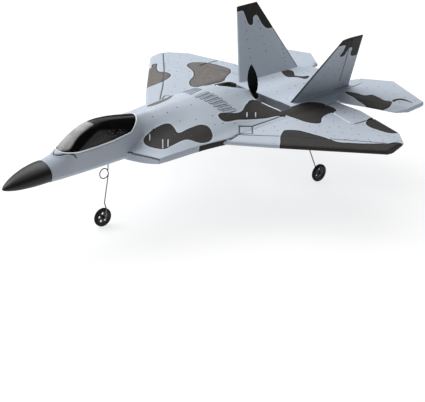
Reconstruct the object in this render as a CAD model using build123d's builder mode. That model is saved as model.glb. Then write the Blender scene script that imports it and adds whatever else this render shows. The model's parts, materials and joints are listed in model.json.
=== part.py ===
from build123d import *
import math
import os

# Small foam jet with a pusher propeller, millimetres.
# Frame: nose towards -Y, port (left) wing towards +X, +Z up, ground at Z = 0.
# Positions along the body are stations (distance behind the nose tip) and
# heights are waterlines (height above the flat top of the wing).

# ---------------------------------------------------------------- dimensions
LENGTH = 369.1            # nose tip to tailplane corner
HALF_SPAN = 145.9         # centreline to wing tip
MID_S = LENGTH / 2        # station that lies at Y = 0
WING_WL = 66.5            # height of the wing top above the ground

CONE_END = 36.0           # station of the nose cone joint
SLOT_FRONT = 241.0        # propeller slot, front wall
SLOT_REAR = 254.5         # propeller slot, rear wall
SLOT_HALF = 40.0          # propeller slot, half width
TAIL_END = 343.0          # end of the rear deck

PROP_S = 248.0            # propeller plane
SHAFT_WL = 2.0            # propeller shaft height
PROP_R = 27.5             # propeller tip radius
SHAFT_R = 0.75            # motor shaft radius
MOTOR_R = 4.25            # motor can radius
MOTOR_LEN = 20.0
MOUNT_R = 5.6             # motor mount outer radius
MOUNT_S0 = 224.0          # front end of the motor mount

WHEEL_R = 7.7             # tyre outer radius
TYRE_HUB_R = 5.7          # tyre inner radius
WHEEL_W = 3.0             # wheel width
AXLE_R = 0.45             # landing gear wire radius
AXLE_CLEAR = 0.05         # running clearance of the wheels
NOSE_WHEEL_S = 86.4
MAIN_WHEEL_S = 274.3
MAIN_WHEEL_X = 54.5
WHEEL_WL = WHEEL_R - WING_WL

ROOT_X = 50.6             # wing root plane
ELEVON_IN = 51.3          # elevon inner end
ELEVON_OUT = 94.6         # elevon outer end
HINGE_WL = -2.4           # hinge axis height
HINGE_GAP = 0.5
HORN_X = 53.6             # control horn plane
ARM_LEN = 6.0             # servo arm radius
HORN_LEN = 9.0            # horn radius below the hinge axis
SERVO_S = 222.0           # servo output axis station
SERVO_WL = HINGE_WL - HORN_LEN + ARM_LEN           # servo output axis height

FIN_CANT = math.degrees(math.atan2(31.6, 56.2))   # fins lean outwards


def Y(s):
    return s - MID_S


def Z(wl):
    return wl + WING_WL


def V(x, s, wl):
    return (x, Y(s), Z(wl))


def interp(table, s):
    """Point-by-point blend of a table of sections [(station, [values])]."""
    if s <= table[0][0]:
        return table[0][1]
    for (s0, a), (s1, b) in zip(table, table[1:]):
        if s <= s1:
            t = (s - s0) / (s1 - s0)
            return [(p[0] + (q[0] - p[0]) * t, p[1] + (q[1] - p[1]) * t) for p, q in zip(a, b)]
    return table[-1][1]


def full(half):
    """Half section (x, wl), top centre to bottom centre, to a closed outline."""
    right = [(x, Z(w)) for x, w in half]
    left = [(-x, Z(w)) for x, w in reversed(half) if x > 1e-6]
    return right + left


def section_plane(s):
    return Plane.XZ.offset(-Y(s))


# ------------------------------------------------------------ body sections
# Forward body with the canopy, half sections from the crest to the keel.
FRONT = [
    (36.0, [(0, 4.6), (2.8, 4.3), (5.2, 3.3), (7.3, 1.9), (9.0, 0.1), (10.3, -1.9), (11.1, -3.6), (11.4, -5.3),
            (10.6, -7.6), (7.6, -10.0), (4.0, -11.3), (0, -11.7)]),
    (49.5, [(0, 9.0), (3.0, 8.5), (5.6, 7.3), (7.7, 5.7), (9.4, 3.6), (10.7, 0.9), (11.6, -2.0), (12.3, -5.4),
            (11.4, -7.9), (8.0, -10.4), (4.0, -11.4), (0, -11.7)]),
    (51.5, [(0, 11.6), (3.1, 10.9), (5.7, 9.2), (7.9, 7.3), (9.6, 4.7), (10.9, 1.6), (11.8, -1.8), (12.4, -5.4),
            (11.5, -7.9), (8.0, -10.4), (4.0, -11.4), (0, -11.7)]),
    (56.0, [(0, 15.2), (3.3, 14.4), (6.2, 12.2), (8.6, 9.7), (10.3, 7.0), (11.4, 2.6), (12.1, -1.5), (12.7, -5.4),
            (11.7, -7.9), (8.0, -10.5), (4.0, -11.4), (0, -11.7)]),
    (62.0, [(0, 18.6), (3.6, 17.8), (6.9, 15.3), (9.4, 12.0), (11.0, 8.4), (11.8, 3.4), (12.5, -1.2), (13.1, -5.5),
            (12.0, -8.0), (8.1, -10.6), (4.0, -11.4), (0, -11.7)]),
    (70.0, [(0, 22.2), (3.9, 21.3), (7.4, 18.3), (10.0, 13.6), (11.3, 8.5), (12.1, 3.5), (12.8, -1.1), (13.4, -5.5),
            (12.3, -8.0), (8.2, -10.6), (4.0, -11.4), (0, -11.7)]),
    (77.0, [(0, 24.2), (4.1, 23.2), (7.7, 19.9), (10.3, 14.6), (11.5, 8.6), (12.3, 3.5), (13.0, -1.0), (13.6, -5.5),
            (12.5, -8.0), (8.3, -10.6), (4.0, -11.4), (0, -11.7)]),
    (85.0, [(0, 24.9), (4.1, 23.9), (7.8, 20.5), (10.4, 15.1), (11.6, 8.9), (12.4, 3.6), (13.1, -1.0), (13.7, -5.5),
            (12.6, -8.0), (8.4, -10.6), (4.0, -11.4), (0, -11.7)]),
    (93.0, [(0, 24.5), (4.1, 23.5), (7.8, 20.3), (10.4, 15.1), (11.6, 9.3), (12.5, 3.8), (13.2, -1.0), (13.8, -5.5),
            (12.7, -8.0), (8.4, -10.6), (4.0, -11.4), (0, -11.7)]),
    (101.5, [(0, 23.4), (4.0, 22.5), (7.7, 19.7), (10.2, 15.2), (11.4, 10.2), (12.5, 4.2), (13.3, -0.8), (13.9, -5.5),
             (12.8, -8.0), (8.4, -10.6), (4.0, -11.4), (0, -11.7)]),
    (110.0, [(0, 21.8), (3.9, 21.0), (7.4, 18.6), (9.8, 15.0), (11.2, 11.2), (12.6, 4.8), (13.5, -0.6), (14.0, -5.5),
             (12.8, -8.0), (8.4, -10.6), (4.0, -11.4), (0, -11.7)]),
    (120.0, [(0, 19.9), (3.8, 19.2), (7.2, 17.2), (9.8, 14.4), (11.8, 11.0), (13.4, 6.0), (14.2, 0.0), (14.4, -5.5),
             (12.8, -8.0), (8.4, -10.6), (4.0, -11.4), (0, -11.7)]),
]
# Nose cone: the joint section shrinks towards the tip; scale and centre height.
CONE = [(0.0, 0.012, -7.4), (0.7, 0.11, -7.3), (2.5, 0.25, -7.0), (6.0, 0.43, -6.4), (11.0, 0.62, -5.7),
        (17.0, 0.78, -4.9), (24.0, 0.91, -4.2), (31.0, 0.98, -3.7), (36.0, 1.0, -3.55)]
CONE_RX, CONE_RZ = 11.4, 8.2
# Centre body from the intakes to the propeller slot, then the rear deck.
XS = (0, 7, 14, 21, 29, 37, 44)


def mid(zs, xc, zc, lower):
    return [(x, z) for x, z in zip(XS, zs)] + [(xc, zc)] + lower


CENTRE = [
    (102.0, mid((2.0, 0.5, -3.6, -2.7, -1.9, -1.2, -0.6), 45.0, -0.6,
                [(44.6, -4.2), (34.0, -7.0), (18.0, -9.4), (0, -11.0)])),
    (109.0, mid((8.0, 5.0, -2.0, -1.5, -1.0, -0.5, -0.1), 45.2, -0.2,
                [(44.8, -4.6), (34.0, -7.4), (18.0, -10.0), (0, -11.4)])),
    (118.0, mid((17.5, 12.0, 4.4, 2.4, 1.6, 0.9, 0.2), 45.3, 0.0,
                [(44.9, -5.0), (34.0, -7.8), (18.0, -10.4), (0, -11.7)])),
    (128.0, mid((18.4, 14.8, 8.8, 5.4, 3.8, 2.2, 0.4), 45.5, 0.0,
                [(45.0, -5.2), (34.0, -8.0), (18.0, -10.6), (0, -11.8)])),
    (140.0, mid((17.6, 15.4, 11.4, 8.0, 5.6, 3.2, 0.7), 45.9, 0.0,
                [(45.4, -5.3), (34.0, -8.2), (18.0, -11.7), (0, -11.9)])),
    (151.0, mid((18.2, 16.5, 13.2, 10.0, 7.2, 4.2, 1.0), 46.5, 0.0,
                [(46.0, -5.4), (35.0, -8.3), (18.0, -12.0), (0, -12.0)])),
    (165.0, mid((18.1, 16.9, 14.4, 11.6, 8.6, 5.2, 1.6), 48.6, 0.0,
                [(48.0, -5.4), (36.0, -8.4), (18.0, -12.0), (0, -12.0)])),
    (178.0, mid((19.4, 18.4, 16.3, 13.4, 9.8, 6.0, 2.3), 50.4, 0.0,
                [(50.0, -5.5), (37.0, -8.5), (18.0, -12.0), (0, -12.0)])),
    (190.0, mid((21.0, 20.2, 18.3, 15.3, 11.2, 6.8, 2.6), 50.6, 0.0,
                [(50.2, -5.6), (37.0, -8.6), (18.0, -12.0), (0, -12.0)])),
    (200.0, mid((21.3, 20.6, 18.6, 15.2, 10.9, 6.5, 2.5), 50.6, 0.0,
                [(50.2, -5.6), (37.0, -8.6), (18.0, -12.0), (0, -12.0)])),
    (212.0, mid((19.3, 18.2, 15.6, 12.2, 8.7, 5.3, 2.1), 50.6, 0.0,
                [(50.2, -5.6), (37.0, -8.6), (18.0, -12.0), (0, -12.0)])),
    (225.0, mid((15.3, 13.2, 9.6, 7.0, 5.2, 3.6, 1.6), 50.6, 0.0,
                [(50.2, -5.6), (37.0, -8.6), (18.0, -12.0), (0, -12.0)])),
    (234.0, mid((12.3, 8.6, 5.3, 4.1, 3.3, 2.7, 1.4), 50.6, 0.0,
                [(50.2, -5.6), (37.0, -8.6), (18.0, -12.0), (0, -12.0)])),
    (241.0, mid((10.0, 4.9, 3.1, 2.6, 2.3, 2.2, 1.4), 50.6, 0.0,
                [(50.2, -5.6), (37.0, -8.6), (18.0, -12.0), (0, -12.0)])),
    (254.5, mid((2.6, 2.6, 2.5, 2.5, 2.5, 2.3, 1.4), 50.6, 0.0,
                [(50.2, -5.6), (37.0, -8.6), (18.0, -11.0), (0, -11.2)])),
    (275.0, mid((4.2, 3.6, 2.4, 1.8, 2.3, 2.3, 1.3), 50.6, 0.0,
                [(50.2, -5.6), (37.0, -8.4), (18.0, -10.4), (0, -10.6)])),
    (300.0, mid((4.6, 3.8, 2.0, 1.0, 1.9, 1.8, 0.8), 50.6, 0.0,
                [(50.2, -5.2), (37.0, -7.6), (18.0, -9.2), (0, -9.4)])),
    (325.0, mid((3.0, 2.4, 1.2, 0.6, 1.0, 0.9, 0.2), 50.6, -0.2,
                [(50.2, -4.8), (37.0, -6.4), (18.0, -7.4), (0, -7.6)])),
    (352.0, mid((0.4, 0.3, 0.2, 0.1, 0.1, 0.1, 0.0), 50.6, -0.2,
                [(50.2, -4.4), (37.0, -5.0), (18.0, -5.4), (0, -5.6)])),
]


def stations(table, s0, s1):
    inner = [s for s, _ in table if s0 + 0.5 < s < s1 - 0.5]
    return [s0] + inner + [s1]


# ---------------------------------------------------- shared cutting shapes
# Split surface between the upper moulding and the lower tray: flat under the
# forward body, rising to the chine at the sides.
SPLIT = [(0, -5.2), (13.2, -5.2), (44.0, -1.0), (70.0, -1.0)]


def split_outline(top):
    pts = [(x, Z(w)) for x, w in SPLIT]
    far = Z(60.0) if top else Z(-60.0)
    return [(-x, z) for x, z in reversed(pts) if x > 0] + pts + [(70.0, far), (-70.0, far)]


# Canopy parting line in side view (station, waterline).
CANOPY_LINE = [(49.6, 9.0), (60.0, 8.4), (77.0, 8.6), (92.0, 9.3), (108.8, 11.2), (120.0, 20.0), (121.5, 30.0), (45.0, 30.0)]
# The hatch stands 0.2 mm off its seat.
HATCH_LINE = [(49.9, 9.2), (60.0, 8.65), (77.0, 8.85), (92.0, 9.55), (108.6, 11.45), (119.7, 20.2), (121.2, 30.0), (45.0, 30.0)]
# Plan outline that the whole centre and rear body is trimmed to (x, station).
BODY_PLAN = [(-13.0, 103.0), (13.0, 103.0), (45.2, 109.0), (60.0, 109.0), (60.0, 299.0), (44.0, 300.0), (40.0, 312.0),
             (37.0, 330.0), (36.0, 346.0), (30.0, 351.0), (25.9, 350.0), (24.0, TAIL_END), (-24.0, TAIL_END), (-25.9, 350.0),
             (-30.0, 351.0), (-36.0, 346.0), (-37.0, 330.0), (-40.0, 312.0), (-44.0, 300.0), (-60.0, 299.0),
             (-60.0, 109.0), (-45.2, 109.0)]


def body_shape():
    """Whole outer body from the nose joint to the tail, canopy included."""
    with BuildPart() as centre:
        for s in reversed(stations(CENTRE, 102.0, 352.0)):
            with BuildSketch(section_plane(s)):
                with BuildLine():
                    Polyline(*full(interp(CENTRE, s)), close=True)
                make_face()
        loft(ruled=True)
        with BuildSketch(Plane.XY.offset(Z(-40))):
            with BuildLine():
                Polyline(*[(x, Y(s)) for x, s in BODY_PLAN], close=True)
            make_face()
        extrude(amount=90, mode=Mode.INTERSECT)
        # propeller slot, open through
        with BuildSketch(Plane.XY.offset(Z(-40))):
            with Locations((0, Y((SLOT_FRONT + SLOT_REAR) / 2))):
                RectangleRounded(2 * SLOT_HALF, SLOT_REAR - SLOT_FRONT, 1.5)
        extrude(amount=90, mode=Mode.SUBTRACT)
    with BuildPart() as front:
        for s in reversed(stations(FRONT, CONE_END, 120.0)):
            with BuildSketch(section_plane(s)):
                with BuildLine():
                    Polyline(*full(interp(FRONT, s)), close=True)
                make_face()
        loft(ruled=True)
    return centre.part + front.part


BODY = body_shape()


def prism_xz(points, s0, s1):
    """Outline in the X-Z plane, swept along the body between two stations."""
    with BuildPart() as p:
        with BuildSketch(section_plane(s0)):
            with BuildLine():
                Polyline(*points, close=True)
            make_face()
        extrude(amount=-(s1 - s0))
    return p.part


UPPER_ZONE = prism_xz(split_outline(True), -5.0, 380.0)
LOWER_ZONE = prism_xz(split_outline(False), -5.0, 380.0)

with BuildPart() as canopy_zone:
    with BuildSketch(Plane.YZ.offset(-20)):
        with BuildLine():
            Polyline(*[(Y(s), Z(w)) for s, w in CANOPY_LINE], close=True)
        make_face()
    extrude(amount=40)
CANOPY_ZONE = canopy_zone.part

BAY_HALF, BAY_S0, BAY_S1 = 8.6, 60.0, 105.5
EBAY_HALF, EBAY_S0, EBAY_S1, EBAY_TOP = 15.0, 128.0, 208.0, 9.0
BAY_FLOOR = -8.4


def box_between(x0, x1, s0, s1, w0, w1):
    with BuildPart() as b:
        with BuildSketch(Plane.XY.offset(Z(w0))):
            with Locations(((x0 + x1) / 2, (Y(s0) + Y(s1)) / 2)):
                Rectangle(x1 - x0, s1 - s0)
        extrude(amount=w1 - w0)
    return b.part


def tube_y(x, wl, r, s0, s1):
    with BuildPart() as c:
        with BuildSketch(section_plane(s0)):
            with Locations((x, Z(wl))):
                Circle(r)
        extrude(amount=-(s1 - s0))
    return c.part


def tube_x(s, wl, r, x0, x1):
    with BuildPart() as c:
        with BuildSketch(Plane.YZ.offset(x0)):
            with Locations((Y(s), Z(wl))):
                Circle(r)
        extrude(amount=x1 - x0)
    return c.part


def tube_z(x, s, r, w0, w1):
    with BuildPart() as c:
        with BuildSketch(Plane.XY.offset(Z(w0))):
            with Locations((x, Y(s))):
                Circle(r)
        extrude(amount=w1 - w0)
    return c.part


SPAR_S, SPAR_WL, SPAR_R = 206.0, -3.4, 1.0


def keep(name, part):
    part.label = name
    export_step(part, "parts/%s.step" % name)


os.makedirs("parts", exist_ok=True)

# ------------------------------------------------------------------- wings
# Chordwise outlines (station offset from leading edge / trailing edge, wl).
LE_SLOPE = (250.5 - 169.5) / (HALF_SPAN - 51.0)


def wing_edge(x):
    le = 169.5 + (x - 51.0) * LE_SLOPE
    if x <= 77.0:
        te = 297.0
    elif x <= 129.8:
        te = 297.0 - (x - 77.0) * (13.0 / 52.8)
    else:
        te = 284.0 - (x - 129.8) * (12.5 / 15.2)
    return le, te


def wing_outline(x):
    le, te = wing_edge(x)
    c = te - le
    return [(le, -3.0), (le + 0.6, -1.9), (le + 3.0, -1.1), (le + min(16.0, 0.45 * c), 0.0), (te - min(30.0, 0.35 * c), 0.0),
            (te, -1.0), (te, -2.6), (te - min(40.0, 0.4 * c), -5.0), (le + min(16.0, 0.45 * c), -5.8), (le + 2.6, -5.3), (le + 0.6, -4.4)]


def wing_slab(x0, x1, side):
    with BuildPart() as w:
        xs = [x for x in (ROOT_X, 77.0, 129.8, 145.0) if x0 < x < x1]
        for x in [x0] + xs + [x1]:
            with BuildSketch(Plane.YZ.offset(x)):
                with BuildLine():
                    Polyline(*[(Y(s), Z(wl)) for s, wl in wing_outline(x)], close=True)
                make_face()
        loft(ruled=True)
        # clipped tip
        with BuildSketch(Plane.XY.offset(Z(-20))):
            with BuildLine():
                Polyline((0, Y(100)), (HALF_SPAN - 2.6, Y(100)), (HALF_SPAN - 2.6, Y(247.5)), (HALF_SPAN, Y(250.8)), (HALF_SPAN - 0.9, Y(271.5)),
                         (129.8, Y(284.05)), (129.8, Y(320)), (0, Y(320)), close=True)
            make_face()
        extrude(amount=40, mode=Mode.INTERSECT)
    return w.part if side > 0 else w.part.mirror(Plane.YZ)


def hinge_s(x):
    return 276.8 - (x - 69.6) * (5.5 / 23.9)


HINGE_ANGLE = math.degrees(math.atan2(-5.5, 23.9))      # plan angle of the port hinge line


def plan_prism(points, w0=-20, w1=20):
    with BuildPart() as p:
        with BuildSketch(Plane.XY.offset(Z(w0))):
            with BuildLine():
                Polyline(*[(x, Y(s)) for x, s in points], close=True)
            make_face()
        extrude(amount=w1 - w0)
    return p.part


def hinge_plane(x):
    """Plane across the port hinge line at spanwise position x."""
    a = math.radians(HINGE_ANGLE)
    d = (math.cos(a), math.sin(a), 0)
    return Plane(origin=V(x, hinge_s(x), HINGE_WL), x_dir=(-d[1], d[0], 0), z_dir=d)


def hinge_cylinder(r, x0, x1):
    a = math.radians(HINGE_ANGLE)
    with BuildPart() as c:
        with BuildSketch(hinge_plane(x0)):
            Circle(r)
        extrude(amount=(x1 - x0) / math.cos(a))
    return c.part


def mirrored(part, side):
    return part if side > 0 else part.mirror(Plane.YZ)




def horn_shape():
    """Control horn on the port elevon: plate with the pushrod hole."""
    hs, pin = hinge_s(HORN_X), HINGE_WL - HORN_LEN
    with BuildPart() as horn:
        with BuildSketch(Plane.YZ.offset(HORN_X - 0.5)):
            with BuildLine():
                Polyline((Y(hs - 0.6), Z(-3.6)), (Y(hs + 7.0), Z(-1.8)), (Y(hs + 7.2), Z(-4.6)), (Y(hs + 1.9), Z(pin - 0.6)),
                         (Y(hs + 0.8), Z(pin - 1.8)), (Y(hs - 0.9), Z(pin - 1.8)), (Y(hs - 1.9), Z(pin - 0.4)),
                         (Y(hs - 1.3), Z(-5.4)), close=True)
            make_face()
            with Locations((Y(hs), Z(pin))):
                Circle(0.92, mode=Mode.SUBTRACT)
        extrude(amount=1.0)
    return horn.part


NOSE_R = 2.15              # radius of the rounded elevon leading edge
for side, tag in ((1, "left"), (-1, "right")):
    slab = wing_slab(ROOT_X, HALF_SPAN, 1)
    x0, x1 = ELEVON_IN, ELEVON_OUT
    # everything behind the hinge line between the two ends belongs to the elevon
    zone = plan_prism([(x0, hinge_s(x0)), (x1, hinge_s(x1)), (x1, 330), (x0, 330)])
    pocket = plan_prism([(ROOT_X - 1, hinge_s(ROOT_X - 1) - NOSE_R - HINGE_GAP), (x1 + HINGE_GAP, hinge_s(x1 + HINGE_GAP) - NOSE_R - HINGE_GAP),
                         (x1 + HINGE_GAP, 330), (ROOT_X - 1, 330)])
    with BuildPart() as wing:
        add(slab)
        add(pocket, mode=Mode.SUBTRACT)
        add(hinge_cylinder(0.55, ROOT_X - 2, ELEVON_OUT + 3.5), mode=Mode.SUBTRACT)
        add(tube_x(SPAR_S, SPAR_WL, SPAR_R, 40, 88), mode=Mode.SUBTRACT)
    keep("wing_" + tag, mirrored(wing.part, side))
    with BuildPart() as elevon:
        add(slab)
        add(zone, mode=Mode.INTERSECT)
        with BuildPart(mode=Mode.PRIVATE) as nose:
            add(hinge_cylinder(NOSE_R, x0 + 0.9, x1 - 0.1))
        add(nose.part)
        add(hinge_cylinder(0.5, x0 - 2, x1 + 2), mode=Mode.SUBTRACT)
        add(horn_shape(), mode=Mode.SUBTRACT)
    keep("elevon_" + tag, mirrored(elevon.part, side))
    with BuildPart() as rod:
        add(hinge_cylinder(0.5, x0 + 0.2, x1 + 3.0))
    keep("elevon_hinge_rod_" + tag, mirrored(rod.part, side))

with BuildPart() as wing_spar:
    add(tube_x(SPAR_S, SPAR_WL, SPAR_R, -87, 87))
    add(tube_x(SPAR_S, SPAR_WL, 0.5, -88, 88), mode=Mode.SUBTRACT)
keep("wing_spar", wing_spar.part)

# -------------------------------------------------------------------- fins
cant = math.radians(FIN_CANT)
FIN_DIR = (math.sin(cant), 0, math.cos(cant))
FIN_NORMAL = (math.cos(cant), 0, -math.sin(cant))
FIN_SPAN = 64.6


def fin_section(h):
    """Chordwise outline of a fin at distance h along its cant."""
    t = h / FIN_SPAN
    le = 259.6 + (285.2 - 259.6) * t
    te = 331.0 + (309.6 - 331.0) * t
    half = 2.0 + (1.1 - 2.0) * max(t, 0.0)
    return [(le, 0.0), (le + 1.2, half * 0.6), (le + 7.0, half), (te - 12.0, half), (te, 0.5), (te, -0.5), (te - 12.0, -half),
            (le + 7.0, -half), (le + 1.2, -half * 0.6)]


with BuildPart() as fin_left:
    for h in (-3.0, FIN_SPAN):
        origin = (32.2 + FIN_DIR[0] * h, 0, Z(2.2) + FIN_DIR[2] * h)
        with BuildSketch(Plane(origin=origin, x_dir=(0, 1, 0), z_dir=FIN_DIR)):
            with BuildLine():
                Polyline(*[(Y(s), -t) for s, t in fin_section(h)], close=True)
            make_face()
    loft(ruled=True)

# ------------------------------------------------------------- tailplanes
with BuildPart() as tailplane_left:
    TAIL_PLAN = [(40.1, 312.2), (44.1, 300.4), (48.0, 302.4), (70.0, 311.6), (95.0, 320.2), (102.0, 328.8), (100.8, 349.6), (50.9, LENGTH),
                 (25.9, 352.4), (30.1, 351.2), (36.2, 346.2), (37.2, 330.0)]
    with BuildSketch(Plane.XY.offset(Z(-5.2))):
        with BuildLine():
            Polyline(*[(x, Y(s)) for x, s in TAIL_PLAN], close=True)
        make_face()
    extrude(amount=5.2)
    # sloping leading edge face, and thinner towards the back
    with BuildSketch(Plane.YZ.offset(20)):
        with BuildLine():
            Polyline((Y(296.0), Z(-4.6)), (Y(LENGTH + 4), Z(-3.0)), (Y(LENGTH + 4), Z(-8)), (Y(296), Z(-8)), close=True)
        make_face()
    extrude(amount=100, mode=Mode.SUBTRACT)
    a = math.atan2(320.2 - 303.2, 95.0 - 48.0)
    d = (math.cos(a), math.sin(a), 0)
    with BuildSketch(Plane(origin=V(48.0 - 20 * d[0], 303.2 - 20 * d[1], 0), x_dir=(-d[1], d[0], 0), z_dir=d)):
        with BuildLine():
            Polyline((-4, 1.0), (9.5, 0.0), (9.5, 3.0), (-4, 3.0), close=True)
        make_face()
        with BuildLine():
            Polyline((-3, 1.0), (0.0, -3.4), (7.0, 0.02), (7.0, 3.0), (-3, 3.0), close=True)
        make_face()
    extrude(amount=100, mode=Mode.SUBTRACT)

for side, tag in ((1, "left"), (-1, "right")):
    keep("fin_" + tag, mirrored(fin_left.part, side))
    keep("tailplane_" + tag, mirrored(tailplane_left.part, side))

# ------------------------------------------------------------ power train
with BuildPart() as motor_mount:
    add(tube_y(0, SHAFT_WL, MOUNT_R, MOUNT_S0, SLOT_FRONT))
    add(box_between(-MOUNT_R, MOUNT_R, MOUNT_S0, SLOT_FRONT, -5.1, SHAFT_WL))
    add(tube_y(0, SHAFT_WL, MOTOR_R + 0.02, MOUNT_S0 - 1, SLOT_FRONT - 1.2), mode=Mode.SUBTRACT)
    add(tube_y(0, SHAFT_WL, 2.2, SLOT_FRONT - 2, SLOT_FRONT + 1), mode=Mode.SUBTRACT)
    for x in (-4.2, 4.2):
        add(tube_y(x, -3.2, 0.6, 235.0, SLOT_FRONT + 1), mode=Mode.SUBTRACT)
keep("motor_mount", motor_mount.part)

with BuildPart() as motor:
    add(tube_y(0, SHAFT_WL, MOTOR_R, SLOT_FRONT - 1.3 - MOTOR_LEN, SLOT_FRONT - 1.3))
    chamfer(motor.edges().filter_by(GeomType.CIRCLE), 0.4)
    add(tube_y(0, SHAFT_WL, 1.6, SLOT_FRONT - 2, SLOT_FRONT - 0.2))
    add(tube_y(0, SHAFT_WL, SHAFT_R + 0.05, 229.0, SLOT_FRONT + 1), mode=Mode.SUBTRACT)
keep("motor", motor.part)

with BuildPart() as motor_shaft:
    add(tube_y(0, SHAFT_WL, SHAFT_R, 230.0, 252.2))
keep("motor_shaft", motor_shaft.part)

with BuildPart() as motor_mount_screws:
    for x in (-4.2, 4.2):
        add(tube_y(x, -3.2, 0.6, 236.0, SLOT_FRONT))
        add(tube_y(x, -3.2, 1.2, SLOT_FRONT, SLOT_FRONT + 0.7))
keep("motor_mount_screws", motor_mount_screws.part)

# propeller: two twisted blades on a hub
BLADE = [(1.6, 4.6, 2.2, 46), (5.0, 7.6, 1.6, 40), (10.0, 9.8, 1.2, 32), (16.0, 10.2, 1.0, 25), (22.0, 8.6, 0.8, 20),
         (25.6, 6.2, 0.7, 17), (PROP_R - 0.6, 3.4, 0.6, 16), (PROP_R, 1.4, 0.5, 16)]     # radius, chord, thickness, pitch


def lens(chord, thick, pitch, offset):
    """Blade section: flat-bottomed lens turned to its pitch."""
    pts = []
    for u, v in ((-0.5, 0.0), (-0.42, 0.45), (-0.18, 0.9), (0.12, 0.9), (0.36, 0.5), (0.5, 0.0), (0.34, -0.25), (-0.3, -0.2)):
        pts.append((u * chord + offset, v * thick * 0.8))
    a = math.radians(pitch)
    return [(p * math.cos(a) - q * math.sin(a), p * math.sin(a) + q * math.cos(a)) for p, q in pts]


with BuildPart() as blade:
    for r, chord, thick, pitch in BLADE:
        with BuildSketch(Plane(origin=(0, Y(PROP_S), Z(SHAFT_WL) + r), x_dir=(1, 0, 0), z_dir=(0, 0, 1))):
            with BuildLine():
                Polyline(*lens(chord, thick, pitch, 0.0), close=True)
            make_face()
    loft(ruled=True)
hub_axis = Axis((0, Y(PROP_S), Z(SHAFT_WL)), (0, 1, 0))
with BuildPart() as propeller:
    add(tube_y(0, SHAFT_WL, 3.0, PROP_S - 2.9, PROP_S + 2.9))
    chamfer(propeller.edges().filter_by(GeomType.CIRCLE), 0.5)
    add(blade.part.rotate(hub_axis, -8.0))
    add(blade.part.rotate(hub_axis, 172.0))
    add(tube_y(0, SHAFT_WL, SHAFT_R, 240, 256), mode=Mode.SUBTRACT)
keep("propeller", propeller.part)

# --------------------------------------------------------------- electrics
with BuildPart() as battery:
    add(box_between(-7.6, 7.6, 63.0, 97.0, -8.2, 3.8))
    fillet(battery.edges().filter_by(Axis.Y), 1.6)
keep("battery", battery.part)
with BuildPart() as battery_strap:
    add(box_between(-8.5, 8.5, 76.0, 84.0, -8.3, 4.5))
    add(box_between(-7.7, 7.7, 75.0, 85.0, -9.3, 3.9), mode=Mode.SUBTRACT)
keep("battery_strap", battery_strap.part)
with BuildPart() as battery_leads:
    for x in (-1.3, 1.3):
        add(tube_y(x, -4.0, 0.55, 97.0, 98.4))
keep("battery_leads", battery_leads.part)
with BuildPart() as battery_plug:
    add(box_between(-3.2, 3.2, 98.4, 101.6, -6.2, -1.8))
    fillet(battery_plug.edges().filter_by(Axis.Y), 0.4)
keep("battery_plug", battery_plug.part)
with BuildPart() as battery_socket:
    add(box_between(-3.6, 3.6, 101.6, 105.2, -6.6, -1.4))
    fillet(battery_socket.edges().filter_by(Axis.Y), 0.4)
keep("battery_socket", battery_socket.part)

with BuildPart() as board_pad:
    add(box_between(-8, 8, 142, 158, -9.7, -7.4))
keep("board_pad", board_pad.part)
with BuildPart() as flight_board:
    add(box_between(-10, 10, 134, 166, -7.4, -6.2))
    add(box_between(-4, 4, 141, 149, -6.2, -5.0))
    add(box_between(-8.5, -5, 151, 158, -6.2, -4.6))
    add(box_between(5, 8.5, 152, 158, -6.2, -4.9))
    add(box_between(-7, 7, 160.5, 165.5, -6.2, -2.4))
    add(box_between(-2.5, 2.5, 134.5, 138.5, -6.2, -3.4))
keep("flight_board", flight_board.part)


def rod_between(p, q, r):
    """Round bar between two points (x, station, wl)."""
    a, b = Vector(*V(*p)), Vector(*V(*q))
    d = b - a
    with BuildPart() as c:
        with BuildSketch(Plane(origin=a, z_dir=d.normalized())):
            Circle(r)
        extrude(amount=d.length)
    return c.part


with BuildPart() as motor_leads:
    for x in (-2.4, 2.4):
        add(rod_between((x, 165.6, -3.6), (x * 0.9, SLOT_FRONT - 1.3 - MOTOR_LEN, SHAFT_WL), 0.5))
keep("motor_leads", motor_leads.part)

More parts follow.
